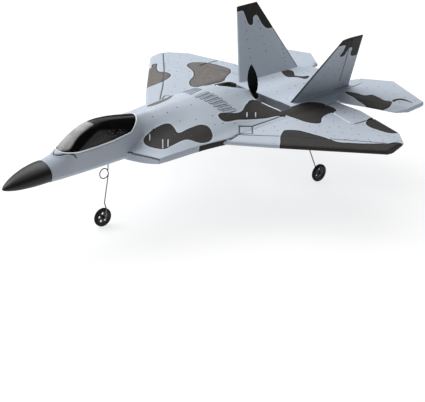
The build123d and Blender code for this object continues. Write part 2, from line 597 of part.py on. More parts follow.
# ------------------------------------------------------------ servo linkage
ROD_X = 51.6
PIN_WL = SERVO_WL - ARM_LEN
for side, tag in ((1, "left"), (-1, "right")):
    with BuildPart() as servo:
        add(box_between(40.2, 47.8, SERVO_S - 4.8, SERVO_S + 11.8, -10.4, -1.2))
        fillet(servo.edges().filter_by(Axis.X), 0.6)
        add(tube_x(SERVO_S, SERVO_WL, 2.2, 47.7, 49.0))
        add(tube_x(SERVO_S, SERVO_WL, 0.95, 47.9, 49.1), mode=Mode.SUBTRACT)
    keep("servo_" + tag, mirrored(servo.part, side))
    with BuildPart() as arm:
        with BuildSketch(Plane.YZ.offset(49.3)):
            with Locations((Y(SERVO_S), Z(SERVO_WL))):
                Circle(1.9)
            with Locations((Y(SERVO_S), Z(PIN_WL))):
                Circle(1.3)
            with Locations((Y(SERVO_S), Z((SERVO_WL + PIN_WL) / 2))):
                Rectangle(2.2, ARM_LEN)
            with Locations((Y(SERVO_S), Z(PIN_WL))):
                Circle(0.46, mode=Mode.SUBTRACT)
        extrude(amount=1.0)
        add(tube_x(SERVO_S, SERVO_WL, 0.9, 48.1, 49.4))
    keep("servo_arm_" + tag, mirrored(arm.part, side))
    HORN_S = hinge_s(HORN_X)
    with BuildPart() as pushrod:
        a0, a1 = sorted((side * 48.9, side * ROD_X))
        add(tube_x(SERVO_S, PIN_WL, 0.4, a0, a1))
        add(tube_y(side * ROD_X, PIN_WL, 0.4, SERVO_S, HORN_S))
        b0, b1 = sorted((side * ROD_X, side * 55.8))
        add(tube_x(HORN_S, PIN_WL, 0.4, b0, b1))
        for s in (SERVO_S, HORN_S):
            with Locations(V(side * ROD_X, s, PIN_WL)):
                Sphere(0.4)
    keep("pushrod_" + tag, pushrod.part)
    keep("control_horn_" + tag, mirrored(horn_shape(), side))

# ----------------------------------------------------------- landing gear
with BuildPart() as nose_gear_block:
    add(box_between(-4, 4, 90.0, 99.0, -11.2, -8.6))
    add(tube_z(0, 94.4, AXLE_R, -12, -7), mode=Mode.SUBTRACT)
keep("nose_gear_block", nose_gear_block.part)

COIL_S, COIL_WL, COIL_R = 89.7, -21.9, 4.0


def wire(points, r):
    with BuildPart() as w:
        pts = [V(*p) for p in points]
        for a, b in zip(pts, pts[1:]):
            a, b = Vector(*a), Vector(*b)
            d = b - a
            with BuildSketch(Plane(origin=a, z_dir=d.normalized())):
                Circle(r)
            extrude(amount=d.length)
        for p in pts[1:-1]:
            with Locations(p):
                Sphere(r)
    return w.part


with BuildPart() as nose_gear_wire:
    add(wire([(0, 94.4, -8.7), (0, 94.4, -12.5), (-0.42, 93.7, COIL_WL)], AXLE_R))
    with Locations(Plane(origin=V(0, COIL_S, COIL_WL), z_dir=(1, 0, 0))):
        Torus(COIL_R, AXLE_R)
    add(wire([(0.42, 93.7, COIL_WL), (0.5, 88.4, -46.8), (3.9, 87.6, -50.2), (3.9, NOSE_WHEEL_S, WHEEL_WL), (-2.9, NOSE_WHEEL_S, WHEEL_WL)], AXLE_R))
keep("nose_gear_wire", nose_gear_wire.part)


def wheel(x, s, holes, hole_r, hole_at):
    with BuildPart() as hub:
        with BuildSketch(Plane.YZ.offset(x - WHEEL_W / 2)):
            with Locations((Y(s), Z(WHEEL_WL))):
                Circle(TYRE_HUB_R)
                Circle(AXLE_R + AXLE_CLEAR, mode=Mode.SUBTRACT)
                with PolarLocations(hole_at, holes, start_angle=90):
                    Circle(hole_r, mode=Mode.SUBTRACT)
        extrude(amount=WHEEL_W)
        # dished faces
        for x0, x1 in ((x - WHEEL_W / 2 - 1, x - WHEEL_W / 2 + 0.7), (x + WHEEL_W / 2 - 0.7, x + WHEEL_W / 2 + 1)):
            with BuildSketch(Plane.YZ.offset(x0)):
                with Locations((Y(s), Z(WHEEL_WL))):
                    Circle(TYRE_HUB_R - 0.7)
                    Circle(1.5, mode=Mode.SUBTRACT)
            extrude(amount=x1 - x0, mode=Mode.SUBTRACT)
    with BuildPart() as tyre:
        with BuildSketch(Plane.YZ.offset(x - WHEEL_W / 2)):
            with Locations((Y(s), Z(WHEEL_WL))):
                Circle(WHEEL_R)
                Circle(TYRE_HUB_R, mode=Mode.SUBTRACT)
        extrude(amount=WHEEL_W)
        fillet(tyre.edges().filter_by(GeomType.CIRCLE).group_by(SortBy.RADIUS)[-1], 0.9)
    return hub.part, tyre.part


def collars(x, s):
    with BuildPart() as c:
        for x0 in (x - WHEEL_W / 2 - 0.95, x + WHEEL_W / 2 + 0.15):
            add(tube_x(s, WHEEL_WL, 1.1, x0, x0 + 0.8))
        add(tube_x(s, WHEEL_WL, AXLE_R, x - 5, x + 5), mode=Mode.SUBTRACT)
    return c.part


hub_part, tyre_part = wheel(0, NOSE_WHEEL_S, 5, 1.05, 3.3)
keep("nose_wheel", hub_part)
keep("nose_tyre", tyre_part)
keep("nose_wheel_collars", collars(0, NOSE_WHEEL_S))
for side, tag in ((1, "left"), (-1, "right")):
    with BuildPart() as block:
        add(box_between(24.5, 31.5, 268.5, 275.5, -9.9, -5.6))
        add(wire([(28.0, 272.0, -6.0), (28.0, 272.0, -10.5)], AXLE_R), mode=Mode.SUBTRACT)
    keep("main_gear_block_" + tag, mirrored(block.part, side))
    with BuildPart() as leg:
        add(wire([(28.0, 272.0, -6.0), (28.0, 272.0, -11.2), (MAIN_WHEEL_X - 3.3, MAIN_WHEEL_S, WHEEL_WL + 2.2), (MAIN_WHEEL_X - 2.7, MAIN_WHEEL_S, WHEEL_WL),
                  (MAIN_WHEEL_X + 2.9, MAIN_WHEEL_S, WHEEL_WL)], AXLE_R))
    keep("main_gear_wire_" + tag, mirrored(leg.part, side))
    hub_part, tyre_part = wheel(MAIN_WHEEL_X, MAIN_WHEEL_S, 3, 1.0, 3.4)
    keep("main_wheel_" + tag, mirrored(hub_part, side))
    keep("main_tyre_" + tag, mirrored(tyre_part, side))
    keep("main_wheel_collars_" + tag, mirrored(collars(MAIN_WHEEL_X, MAIN_WHEEL_S), side))

# ---------------------------------------------------------- foam mouldings
FINS = [fin_left.part, fin_left.part.mirror(Plane.YZ)]
MAGNETS_BODY = [(56.6, 1.4, 7.4, 8.4), (107.3, 1.2, 9.9, 10.9)]
MAGNETS_HATCH = [(56.6, 1.4, 9.3, 10.3), (107.3, 1.2, 11.4, 12.4)]


def servo_pockets():
    out = []
    for side in (-1, 1):
        x0, x1 = sorted((side * 39.8, side * 51.0))
        out.append(box_between(x0, x1, SERVO_S - 5.2, SERVO_S + 12.2, -13, -0.8))
    return out


with BuildPart() as body_magnets:
    for s, r, w0, w1 in MAGNETS_BODY:
        add(tube_z(0, s, r, w0, w1))
keep("body_magnets", body_magnets.part)
with BuildPart() as hatch_magnets:
    for s, r, w0, w1 in MAGNETS_HATCH:
        add(tube_z(0, s, r, w0, w1))
keep("hatch_magnets", hatch_magnets.part)

with BuildPart() as fuselage_upper:
    add(BODY)
    add(UPPER_ZONE, mode=Mode.INTERSECT)
    add(CANOPY_ZONE, mode=Mode.SUBTRACT)
    add(box_between(-BAY_HALF, BAY_HALF, BAY_S0, BAY_S1, -8, 30), mode=Mode.SUBTRACT)
    add(box_between(-EBAY_HALF, EBAY_HALF, EBAY_S0, EBAY_S1, -8, EBAY_TOP), mode=Mode.SUBTRACT)
    add(box_between(-2.4, 2.4, BAY_S1 - 1, EBAY_S0 + 1, -8, -1), mode=Mode.SUBTRACT)
    add(tube_y(0, SHAFT_WL, MOUNT_R, EBAY_S1 - 1, SLOT_FRONT + 1), mode=Mode.SUBTRACT)
    add(box_between(-MOUNT_R, MOUNT_R, MOUNT_S0, SLOT_FRONT + 1, -12, SHAFT_WL), mode=Mode.SUBTRACT)
    for pocket in servo_pockets():
        add(pocket, mode=Mode.SUBTRACT)
    for fin in FINS:
        add(fin, mode=Mode.SUBTRACT)
    for s, r, w0, w1 in MAGNETS_BODY:
        add(tube_z(0, s, r, w0, w1 + 1), mode=Mode.SUBTRACT)
    add(tube_x(SPAR_S, SPAR_WL, SPAR_R, -60, 60), mode=Mode.SUBTRACT)
keep("fuselage_upper", fuselage_upper.part)

with BuildPart() as fuselage_lower:
    add(BODY)
    add(LOWER_ZONE, mode=Mode.INTERSECT)
    add(box_between(-60, 60, SLOT_FRONT - 1e-3, 380, -40, 30), mode=Mode.SUBTRACT)
    add(box_between(-BAY_HALF, BAY_HALF, BAY_S0, BAY_S1, BAY_FLOOR, 30), mode=Mode.SUBTRACT)
    add(box_between(-EBAY_HALF, EBAY_HALF, EBAY_S0, EBAY_S1, -9.7, 30), mode=Mode.SUBTRACT)
    add(box_between(-2.4, 2.4, BAY_S1 - 1, EBAY_S0 + 1, -8, 0), mode=Mode.SUBTRACT)
    add(box_between(-4, 4, 90.0, 99.0, -14, -8.6), mode=Mode.SUBTRACT)
    for pocket in servo_pockets():
        add(pocket, mode=Mode.SUBTRACT)
    add(tube_x(SPAR_S, SPAR_WL, SPAR_R, -60, 60), mode=Mode.SUBTRACT)
keep("fuselage_lower", fuselage_lower.part)

with BuildPart() as tail_underside:
    add(BODY)
    add(LOWER_ZONE, mode=Mode.INTERSECT)
    add(box_between(-60, 60, -5, SLOT_FRONT + 1, -40, 30), mode=Mode.SUBTRACT)
    for side in (-1, 1):
        x0, x1 = sorted((side * 24.5, side * 31.5))
        add(box_between(x0, x1, 268.5, 275.5, -14, -5.6), mode=Mode.SUBTRACT)
    for fin in FINS:
        add(fin, mode=Mode.SUBTRACT)
keep("tail_underside", tail_underside.part)

# nose cone: soft ogive, slightly deeper than it is tall
with BuildPart() as nose_cone:
    for s, f, c in reversed(CONE):
        with BuildSketch(section_plane(s)):
            with Locations((0, Z(c))):
                Ellipse(CONE_RX * f, CONE_RZ * f)
    loft()
keep("nose_cone", nose_cone.part)


# canopy hatch: moulded shell, closed at the top, open underneath
def shrink(half, t):
    """Half section moved inwards by about t."""
    return [(max(x - t, 0.0) if x > 0.01 else 0.0, w - t) for x, w in half]


with BuildPart() as hatch_zone:
    with BuildSketch(Plane.YZ.offset(-20)):
        with BuildLine():
            Polyline(*[(Y(s), Z(w)) for s, w in HATCH_LINE], close=True)
        make_face()
    extrude(amount=40)
with BuildPart() as hatch_core:
    for s in reversed(stations(FRONT, 53.0, 116.0)):
        with BuildSketch(section_plane(s)):
            with BuildLine():
                Polyline(*full(shrink(interp(FRONT, s)[:8], 1.3) + [(0, -9.0)]), close=True)
            make_face()
    loft(ruled=True)
with BuildPart() as canopy_hatch:
    add(BODY)
    add(hatch_zone.part, mode=Mode.INTERSECT)
    add(hatch_core.part, mode=Mode.SUBTRACT)
    add(tube_z(0, 56.6, 2.2, 9.3, 13.4))
    add(tube_z(0, 107.3, 1.9, 11.4, 21.5))
    for s, r, w0, w1 in MAGNETS_HATCH:
        add(tube_z(0, s, r, w0 - 1, w1), mode=Mode.SUBTRACT)
keep("canopy_hatch", canopy_hatch.part)
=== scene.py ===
import bpy, bmesh, math, json
import numpy as np
from mathutils import Vector, Matrix, Quaternion

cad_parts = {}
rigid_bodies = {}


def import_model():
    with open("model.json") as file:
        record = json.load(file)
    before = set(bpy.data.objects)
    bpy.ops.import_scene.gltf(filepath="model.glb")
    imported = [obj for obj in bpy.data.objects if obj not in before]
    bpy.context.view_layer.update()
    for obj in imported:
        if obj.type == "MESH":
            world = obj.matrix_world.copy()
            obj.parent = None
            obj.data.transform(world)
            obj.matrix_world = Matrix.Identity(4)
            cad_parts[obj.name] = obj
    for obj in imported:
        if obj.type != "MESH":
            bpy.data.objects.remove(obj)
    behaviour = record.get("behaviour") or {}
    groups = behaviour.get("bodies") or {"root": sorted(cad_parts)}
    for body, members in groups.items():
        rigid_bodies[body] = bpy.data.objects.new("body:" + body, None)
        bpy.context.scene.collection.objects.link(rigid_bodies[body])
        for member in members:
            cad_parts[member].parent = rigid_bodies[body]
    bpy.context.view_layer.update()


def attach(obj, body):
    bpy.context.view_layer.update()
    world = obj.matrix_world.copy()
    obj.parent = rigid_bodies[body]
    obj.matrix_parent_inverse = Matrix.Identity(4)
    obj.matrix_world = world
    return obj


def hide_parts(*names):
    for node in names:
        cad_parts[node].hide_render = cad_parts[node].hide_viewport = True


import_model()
MM = 0.001
MID, WL = 184.55, 66.5          # station at Y = 0, height of the wing top above the floor
S = bpy.context.scene


def pm(x, s, w):
    return Vector((x * MM, (s - MID) * MM, (w + WL) * MM))


# ------------------------------------------------------------------ camera
def add_camera():
    cam = bpy.data.cameras.new("camera")
    ob = bpy.data.objects.new("camera", cam)
    S.collection.objects.link(ob)
    R = Vector((0.65687085, 0.75400132, -0.00164112))
    U = Vector((-0.3345857, 0.29343349, 0.89551616))
    B = Vector((0.67570193, -0.58768937, 0.44502596))
    m = Matrix((R, U, B)).transposed().to_4x4()
    m.translation = pm(639.821, -355.365, 339.208)
    ob.matrix_world = m
    cam.sensor_width = 36.0
    cam.sensor_fit = "HORIZONTAL"
    cam.lens = 1102.91 / 425.0 * 36.0
    cam.clip_start, cam.clip_end = 0.01, 50
    cam.dof.use_dof = False
    S.camera = ob


def area(name, loc, target, size, power, color=(1, 1, 1)):
    li = bpy.data.lights.new(name, "AREA")
    li.shape = "RECTANGLE"
    li.size, li.size_y = size
    li.energy = power
    li.color = color
    ob = bpy.data.objects.new(name, li)
    S.collection.objects.link(ob)
    ob.location = loc
    ob.rotation_euler = (Vector(target) - Vector(loc)).to_track_quat("-Z", "Y").to_euler()
    return ob


def add_stage():
    bpy.ops.mesh.primitive_plane_add(size=12, location=(0, 0, 0))
    floor = bpy.context.object
    floor.name = "floor"
    mat = bpy.data.materials.new("floor")
    mat.use_nodes = True
    b = mat.node_tree.nodes["Principled BSDF"]
    b.inputs["Base Color"].default_value = (0.25, 0.25, 0.252, 1)
    b.inputs["Roughness"].default_value = 0.9
    b.inputs["Specular IOR Level"].default_value = 0.1
    b.inputs["Emission Color"].default_value = (1, 1, 1, 1)
    b.inputs["Emission Strength"].default_value = 0.76
    floor.data.materials.append(mat)
    w = bpy.data.worlds.new("studio")
    S.world = w
    w.use_nodes = True
    bg = w.node_tree.nodes["Background"]
    bg.inputs[0].default_value = (0.95, 0.97, 1.0, 1)
    bg.inputs[1].default_value = 0.21
    area("left_front", (-0.9, -0.8, 1.0), (0, 0, 0.05), (1.0, 1.0), 13)
    area("left_rear", (-0.62, 0.62, 1.35), (0, 0, 0.05), (1.3, 1.3), 13.5)
    area("top", (0.0, 0.1, 1.6), (0, 0, 0.05), (1.3, 1.3), 5.5)
    area("left", (-1.1, 0.0, 1.1), (0, 0, 0.05), (1.2, 1.2), 9.5)


add_camera()
add_stage()

# ------------------------------------------------------- mesh construction
def obj_from(name, verts, faces):
    me = bpy.data.meshes.new(name)
    me.from_pydata([tuple(v) for v in verts], [], faces)
    me.validate()
    ob = bpy.data.objects.new(name, me)
    S.collection.objects.link(ob)
    return ob


def recalc(ob):
    bm = bmesh.new()
    bm.from_mesh(ob.data)
    bmesh.ops.recalc_face_normals(bm, faces=bm.faces)
    bm.to_mesh(ob.data)
    bm.free()


def apply_mods(ob):
    dg = bpy.context.evaluated_depsgraph_get()
    me = bpy.data.meshes.new_from_object(ob.evaluated_get(dg))
    old = ob.data
    ob.modifiers.clear()
    ob.data = me
    bpy.data.meshes.remove(old)
    return ob


def boolean(ob, other, op, solver="MANIFOLD", keep=False):
    m = ob.modifiers.new("b", "BOOLEAN")
    m.operation = op
    m.object = other
    m.solver = solver
    apply_mods(ob)
    if not keep:
        me = other.data
        bpy.data.objects.remove(other)
        bpy.data.meshes.remove(me)
    return ob


def duplicate(ob, name):
    c = bpy.data.objects.new(name, ob.data.copy())
    S.collection.objects.link(c)
    return c


def prism(name, pts, lo, hi, axis="Z"):
    """Closed prism; pts in mm: (x, s) for axis Z, (s, wl) for axis X, (x, wl) for axis Y."""
    n = len(pts)
    def P(p, h):
        if axis == "Z":
            return pm(p[0], p[1], h)
        if axis == "X":
            return pm(h, p[0], p[1])
        return pm(p[0], h, p[1])
    verts = [P(p, lo) for p in pts] + [P(p, hi) for p in pts]
    faces = [list(range(n))[::-1], list(range(n, 2 * n))]
    faces += [[i, (i + 1) % n, n + (i + 1) % n, n + i] for i in range(n)]
    ob = obj_from(name, verts, faces)
    bm = bmesh.new()
    bm.from_mesh(ob.data)
    bmesh.ops.triangulate(bm, faces=[f for f in bm.faces if len(f.verts) > 4])
    bmesh.ops.recalc_face_normals(bm, faces=bm.faces)
    bm.to_mesh(ob.data)
    bm.free()
    return ob


def box(name, x0, x1, s0, s1, w0, w1):
    return prism(name, [(x0, s0), (x1, s0), (x1, s1), (x0, s1)], w0, w1)


def disc_pts(cx, cy, r, n=48, a0=0.0):
    return [(cx + r * math.cos(a0 + 2 * math.pi * i / n), cy + r * math.sin(a0 + 2 * math.pi * i / n)) for i in range(n)]


def remesh(ob, voxel, smooth=2):
    m = ob.modifiers.new("r", "REMESH")
    m.mode = "VOXEL"
    m.voxel_size = voxel * MM
    m.adaptivity = 0
    apply_mods(ob)
    if smooth:
        m = ob.modifiers.new("s", "SMOOTH")
        m.factor = 0.5
        m.iterations = smooth
        apply_mods(ob)
    return ob


def coords(ob):
    co = np.empty(len(ob.data.vertices) * 3, np.float64)
    ob.data.vertices.foreach_get("co", co)
    return co.reshape(-1, 3)


def normals(ob):
    no = np.empty(len(ob.data.vertices) * 3, np.float64)
    ob.data.vertices.foreach_get("normal", no)
    return no.reshape(-1, 3)


def set_coords(ob, co):
    ob.data.vertices.foreach_set("co", co.astype(np.float32).ravel())
    ob.data.update()


def station(co):
    """x, station, waterline in mm."""
    return co[:, 0] / MM, co[:, 1] / MM + MID, co[:, 2] / MM - WL


def smooth_shade(ob, angle=35):
    for p in ob.data.polygons:
        p.use_smooth = True
    ob.data.set_sharp_from_angle(angle=math.radians(angle))


# -------------------------------------------------------- body definition
def catmull(points, sub):
    """Centripetal Catmull-Rom through points, sub samples per span."""
    P = np.array(points, float)
    P = np.vstack([2 * P[0] - P[1], P, 2 * P[-1] - P[-2]])
    out = []
    for i in range(1, len(P) - 2):
        p0, p1, p2, p3 = P[i - 1], P[i], P[i + 1], P[i + 2]
        t0 = 0.0
        t1 = t0 + max(np.linalg.norm(p1 - p0), 1e-6) ** 0.5
        t2 = t1 + max(np.linalg.norm(p2 - p1), 1e-6) ** 0.5
        t3 = t2 + max(np.linalg.norm(p3 - p2), 1e-6) ** 0.5
        for k in range(sub):
            t = t1 + (t2 - t1) * k / sub
            a1 = (t1 - t) / (t1 - t0) * p0 + (t - t0) / (t1 - t0) * p1
            a2 = (t2 - t) / (t2 - t1) * p1 + (t - t1) / (t2 - t1) * p2
            a3 = (t3 - t) / (t3 - t2) * p2 + (t - t2) / (t3 - t2) * p3
            b1 = (t2 - t) / (t2 - t0) * a1 + (t - t0) / (t2 - t0) * a2
            b2 = (t3 - t) / (t3 - t1) * a2 + (t - t1) / (t3 - t1) * a3
            out.append((t2 - t) / (t2 - t1) * b1 + (t - t1) / (t2 - t1) * b2)
    out.append(P[-2])
    return np.array(out)


def monotone(xs, ys, xq):
    """Monotone cubic interpolation of rows ys[k] at xs[k]."""
    xs = np.array(xs, float)
    ys = np.array(ys, float)
    h = np.diff(xs)
    sh = (-1,) + (1,) * (ys.ndim - 1)
    d = np.diff(ys, axis=0) / h.reshape(sh)
    m = np.zeros_like(ys)
    m[0], m[-1] = d[0], d[-1]
    for k in range(1, len(xs) - 1):
        w1 = 2 * h[k] + h[k - 1]
        w2 = h[k] + 2 * h[k - 1]
        a, b = d[k - 1], d[k]
        ok = a * b > 0
        with np.errstate(divide="ignore", invalid="ignore"):
            v = (w1 + w2) / (w1 / a + w2 / b)
        m[k] = np.where(ok, v, 0.0)
    out = []
    for x in xq:
        k = int(np.clip(np.searchsorted(xs, x) - 1, 0, len(xs) - 2))
        t = (x - xs[k]) / h[k]
        out.append((2 * t**3 - 3 * t**2 + 1) * ys[k] + (t**3 - 2 * t**2 + t) * h[k] * m[k]
                   + (-2 * t**3 + 3 * t**2) * ys[k + 1] + (t**3 - t**2) * h[k] * m[k + 1])
    return np.array(out)


FRONT = [
    (36.0, [(0, 4.6), (2.8, 4.3), (5.2, 3.3), (7.3, 1.9), (9.0, 0.1), (10.3, -1.9), (11.1, -3.6), (11.4, -5.3),
            (10.6, -7.6), (7.6, -10.0), (4.0, -11.3), (0, -11.7)]),
    (49.5, [(0, 9.0), (3.0, 8.5), (5.6, 7.3), (7.7, 5.7), (9.4, 3.6), (10.7, 0.9), (11.6, -2.0), (12.3, -5.4),
            (11.4, -7.9), (8.0, -10.4), (4.0, -11.4), (0, -11.7)]),
    (51.5, [(0, 11.6), (3.1, 10.9), (5.7, 9.2), (7.9, 7.3), (9.6, 4.7), (10.9, 1.6), (11.8, -1.8), (12.4, -5.4),
            (11.5, -7.9), (8.0, -10.4), (4.0, -11.4), (0, -11.7)]),
    (56.0, [(0, 15.2), (3.3, 14.4), (6.2, 12.2), (8.6, 9.7), (10.3, 7.0), (11.4, 2.6), (12.1, -1.5), (12.7, -5.4),
            (11.7, -7.9), (8.0, -10.5), (4.0, -11.4), (0, -11.7)]),
    (62.0, [(0, 18.6), (3.6, 17.8), (6.9, 15.3), (9.4, 12.0), (11.0, 8.4), (11.8, 3.4), (12.5, -1.2), (13.1, -5.5),
            (12.0, -8.0), (8.1, -10.6), (4.0, -11.4), (0, -11.7)]),
    (70.0, [(0, 22.2), (3.9, 21.3), (7.4, 18.3), (10.0, 13.6), (11.3, 8.5), (12.1, 3.5), (12.8, -1.1), (13.4, -5.5),
            (12.3, -8.0), (8.2, -10.6), (4.0, -11.4), (0, -11.7)]),
    (77.0, [(0, 24.2), (4.1, 23.2), (7.7, 19.9), (10.3, 14.6), (11.5, 8.6), (12.3, 3.5), (13.0, -1.0), (13.6, -5.5),
            (12.5, -8.0), (8.3, -10.6), (4.0, -11.4), (0, -11.7)]),
    (85.0, [(0, 24.9), (4.1, 23.9), (7.8, 20.5), (10.4, 15.1), (11.6, 8.9), (12.4, 3.6), (13.1, -1.0), (13.7, -5.5),
            (12.6, -8.0), (8.4, -10.6), (4.0, -11.4), (0, -11.7)]),
    (93.0, [(0, 24.5), (4.1, 23.5), (7.8, 20.3), (10.4, 15.1), (11.6, 9.3), (12.5, 3.8), (13.2, -1.0), (13.8, -5.5),
            (12.7, -8.0), (8.4, -10.6), (4.0, -11.4), (0, -11.7)]),
    (101.5, [(0, 23.4), (4.0, 22.5), (7.7, 19.7), (10.2, 15.2), (11.4, 10.2), (12.5, 4.2), (13.3, -0.8), (13.9, -5.5),
             (12.8, -8.0), (8.4, -10.6), (4.0, -11.4), (0, -11.7)]),
    (110.0, [(0, 21.8), (3.9, 21.0), (7.4, 18.6), (9.8, 15.0), (11.2, 11.2), (12.6, 4.8), (13.5, -0.6), (14.0, -5.5),
             (12.8, -8.0), (8.4, -10.6), (4.0, -11.4), (0, -11.7)]),
    (120.0, [(0, 19.9), (3.8, 19.2), (7.2, 17.2), (9.8, 14.4), (11.8, 11.0), (13.4, 6.0), (14.2, 0.0), (14.4, -5.5),
             (12.8, -8.0), (8.4, -10.6), (4.0, -11.4), (0, -11.7)]),
]
XS = (0, 7, 14, 21, 29, 37, 44)


def mid(zs, xc, zc, lower):
    return [(x, z) for x, z in zip(XS, zs)] + [(xc, zc)] + lower


CENTRE = [
    (102.0, mid((2.0, 0.5, -3.6, -2.7, -1.9, -1.2, -0.6), 45.0, -0.6, [(44.6, -4.2), (34.0, -7.0), (18.0, -9.4), (0, -11.0)])),
    (109.0, mid((8.0, 5.0, -2.0, -1.5, -1.0, -0.5, -0.1), 45.2, -0.2, [(44.8, -4.6), (34.0, -7.4), (18.0, -10.0), (0, -11.4)])),
    (118.0, mid((17.5, 12.0, 4.4, 2.4, 1.6, 0.9, 0.2), 45.3, 0.0, [(44.9, -5.0), (34.0, -7.8), (18.0, -10.4), (0, -11.7)])),
    (128.0, mid((18.4, 14.8, 8.8, 5.4, 3.8, 2.2, 0.4), 45.5, 0.0, [(45.0, -5.2), (34.0, -8.0), (18.0, -10.6), (0, -11.8)])),
    (140.0, mid((17.6, 15.4, 11.4, 8.0, 5.6, 3.2, 0.7), 45.9, 0.0, [(45.4, -5.3), (34.0, -8.2), (18.0, -11.7), (0, -11.9)])),
    (151.0, mid((18.2, 16.5, 13.2, 10.0, 7.2, 4.2, 1.0), 46.5, 0.0, [(46.0, -5.4), (35.0, -8.3), (18.0, -12.0), (0, -12.0)])),
    (165.0, mid((18.1, 16.9, 14.4, 11.6, 8.6, 5.2, 1.6), 48.6, 0.0, [(48.0, -5.4), (36.0, -8.4), (18.0, -12.0), (0, -12.0)])),
    (178.0, mid((19.4, 18.4, 16.3, 13.4, 9.8, 6.0, 2.3), 50.4, 0.0, [(50.0, -5.5), (37.0, -8.5), (18.0, -12.0), (0, -12.0)])),
    (190.0, mid((21.0, 20.2, 18.3, 15.3, 11.2, 6.8, 2.6), 50.6, 0.0, [(50.2, -5.6), (37.0, -8.6), (18.0, -12.0), (0, -12.0)])),
    (200.0, mid((21.3, 20.6, 18.6, 15.2, 10.9, 6.5, 2.5), 50.6, 0.0, [(50.2, -5.6), (37.0, -8.6), (18.0, -12.0), (0, -12.0)])),
    (212.0, mid((19.3, 18.2, 15.6, 12.2, 8.7, 5.3, 2.1), 50.6, 0.0, [(50.2, -5.6), (37.0, -8.6), (18.0, -12.0), (0, -12.0)])),
    (225.0, mid((15.3, 13.2, 9.6, 7.0, 5.2, 3.6, 1.6), 50.6, 0.0, [(50.2, -5.6), (37.0, -8.6), (18.0, -12.0), (0, -12.0)])),
    (234.0, mid((12.3, 8.6, 5.3, 4.1, 3.3, 2.7, 1.4), 50.6, 0.0, [(50.2, -5.6), (37.0, -8.6), (18.0, -12.0), (0, -12.0)])),
    (241.0, mid((10.0, 4.9, 3.1, 2.6, 2.3, 2.2, 1.4), 50.6, 0.0, [(50.2, -5.6), (37.0, -8.6), (18.0, -12.0), (0, -12.0)])),
    (254.5, mid((2.6, 2.6, 2.5, 2.5, 2.5, 2.3, 1.4), 50.6, 0.0, [(50.2, -5.6), (37.0, -8.6), (18.0, -11.0), (0, -11.2)])),
    (275.0, mid((4.2, 3.6, 2.4, 1.8, 2.3, 2.3, 1.3), 50.6, 0.0, [(50.2, -5.6), (37.0, -8.4), (18.0, -10.4), (0, -10.6)])),
    (300.0, mid((4.6, 3.8, 2.0, 1.0, 1.9, 1.8, 0.8), 50.6, 0.0, [(50.2, -5.2), (37.0, -7.6), (18.0, -9.2), (0, -9.4)])),
    (325.0, mid((3.0, 2.4, 1.2, 0.6, 1.0, 0.9, 0.2), 50.6, -0.2, [(50.2, -4.8), (37.0, -6.4), (18.0, -7.4), (0, -7.6)])),
    (352.0, mid((0.4, 0.3, 0.2, 0.1, 0.1, 0.1, 0.0), 50.6, -0.2, [(50.2, -4.4), (37.0, -5.0), (18.0, -5.4), (0, -5.6)])),
]


def ring(half, sub, wall):
    """Closed outline: upper run, optional chine wall, lower run. Both halves."""
    up = [(-x, z) for x, z in reversed(half[1:8])] + half[:8]
    upper = catmull(up, sub)
    start = 8 if wall else 7
    low = half[start:]
    lower = catmull(low + [(-x, z) for x, z in reversed(low[:-1])], sub)
    if wall:
        return np.vstack([upper, lower])
    return np.vstack([upper, lower[1:-1]])


def loft_body(name, table, s0, s1, sub, step, wall):
    rings = [ring(h, sub, wall) for _, h in table]
    st = [s for s, _ in table]
    n = max(2, int(round((s1 - s0) / step)))
    q = np.linspace(s0, s1, n + 1)
    R = monotone(st, rings, q)
    m = R.shape[1]
    verts = [pm(R[i, j, 0], q[i], R[i, j, 1]) for i in range(n + 1) for j in range(m)]
    faces = []
    for i in range(n):
        for j in range(m):
            a, b = i * m + j, i * m + (j + 1) % m
            faces.append((a, b, b + m, a + m))
    for base in (0, n * m):
        c = len(verts)
        cen = sum((verts[base + j] for j in range(m)), Vector()) / m
        verts.append(cen)
        for j in range(m):
            t = (base + j, base + (j + 1) % m, c)
            faces.append(t if base else t[::-1])
    ob = obj_from(name, verts, faces)
    recalc(ob)
    return ob


BODY_PLAN = [(-13.0, 103.0), (13.0, 103.0), (45.2, 109.0), (60.0, 109.0), (60.0, 299.0), (44.0, 300.0), (40.0, 312.0),
             (37.0, 330.0), (36.0, 346.0), (30.0, 351.0), (25.9, 350.0), (24.0, 343.0), (-24.0, 343.0), (-25.9, 350.0),
             (-30.0, 351.0), (-36.0, 346.0), (-37.0, 330.0), (-40.0, 312.0), (-44.0, 300.0), (-60.0, 299.0),
             (-60.0, 109.0), (-45.2, 109.0)]
CANOPY_LINE = [(49.6, 9.0), (60.0, 8.4), (77.0, 8.6), (92.0, 9.3), (108.8, 11.2), (120.0, 20.0), (121.5, 30.0), (45.0, 30.0)]
HATCH_LINE = [(49.9, 9.2), (60.0, 8.65), (77.0, 8.85), (92.0, 9.55), (108.6, 11.45), (119.7, 20.2), (121.2, 30.0), (45.0, 30.0)]
SPLIT = [(0, -5.2), (13.2, -5.2), (44.0, -1.0), (70.0, -1.0)]


def split_zone(name, top, gap=0.0):
    g = gap if top else -gap
    pts = [(x, w + g) for x, w in SPLIT]
    far = 60.0 if top else -60.0
    poly = [(-x, z) for x, z in reversed(pts) if x > 0] + pts + [(70.0, far), (-70.0, far)]
    return prism(name, poly, -5.0, 380.0, "Y")


def whole_body():
    centre = loft_body("centre", CENTRE, 102.0, 352.0, 6, 1.5, True)
    boolean(centre, prism("plan", BODY_PLAN, -40, 50), "INTERSECT")
    boolean(centre, box("slot", -40, 40, 241.0, 254.5, -40, 50), "DIFFERENCE")
    front = loft_body("front", FRONT, 36.0, 120.0, 6, 1.0, False)
    boolean(centre, front, "UNION")
    return centre


BODY = whole_body()

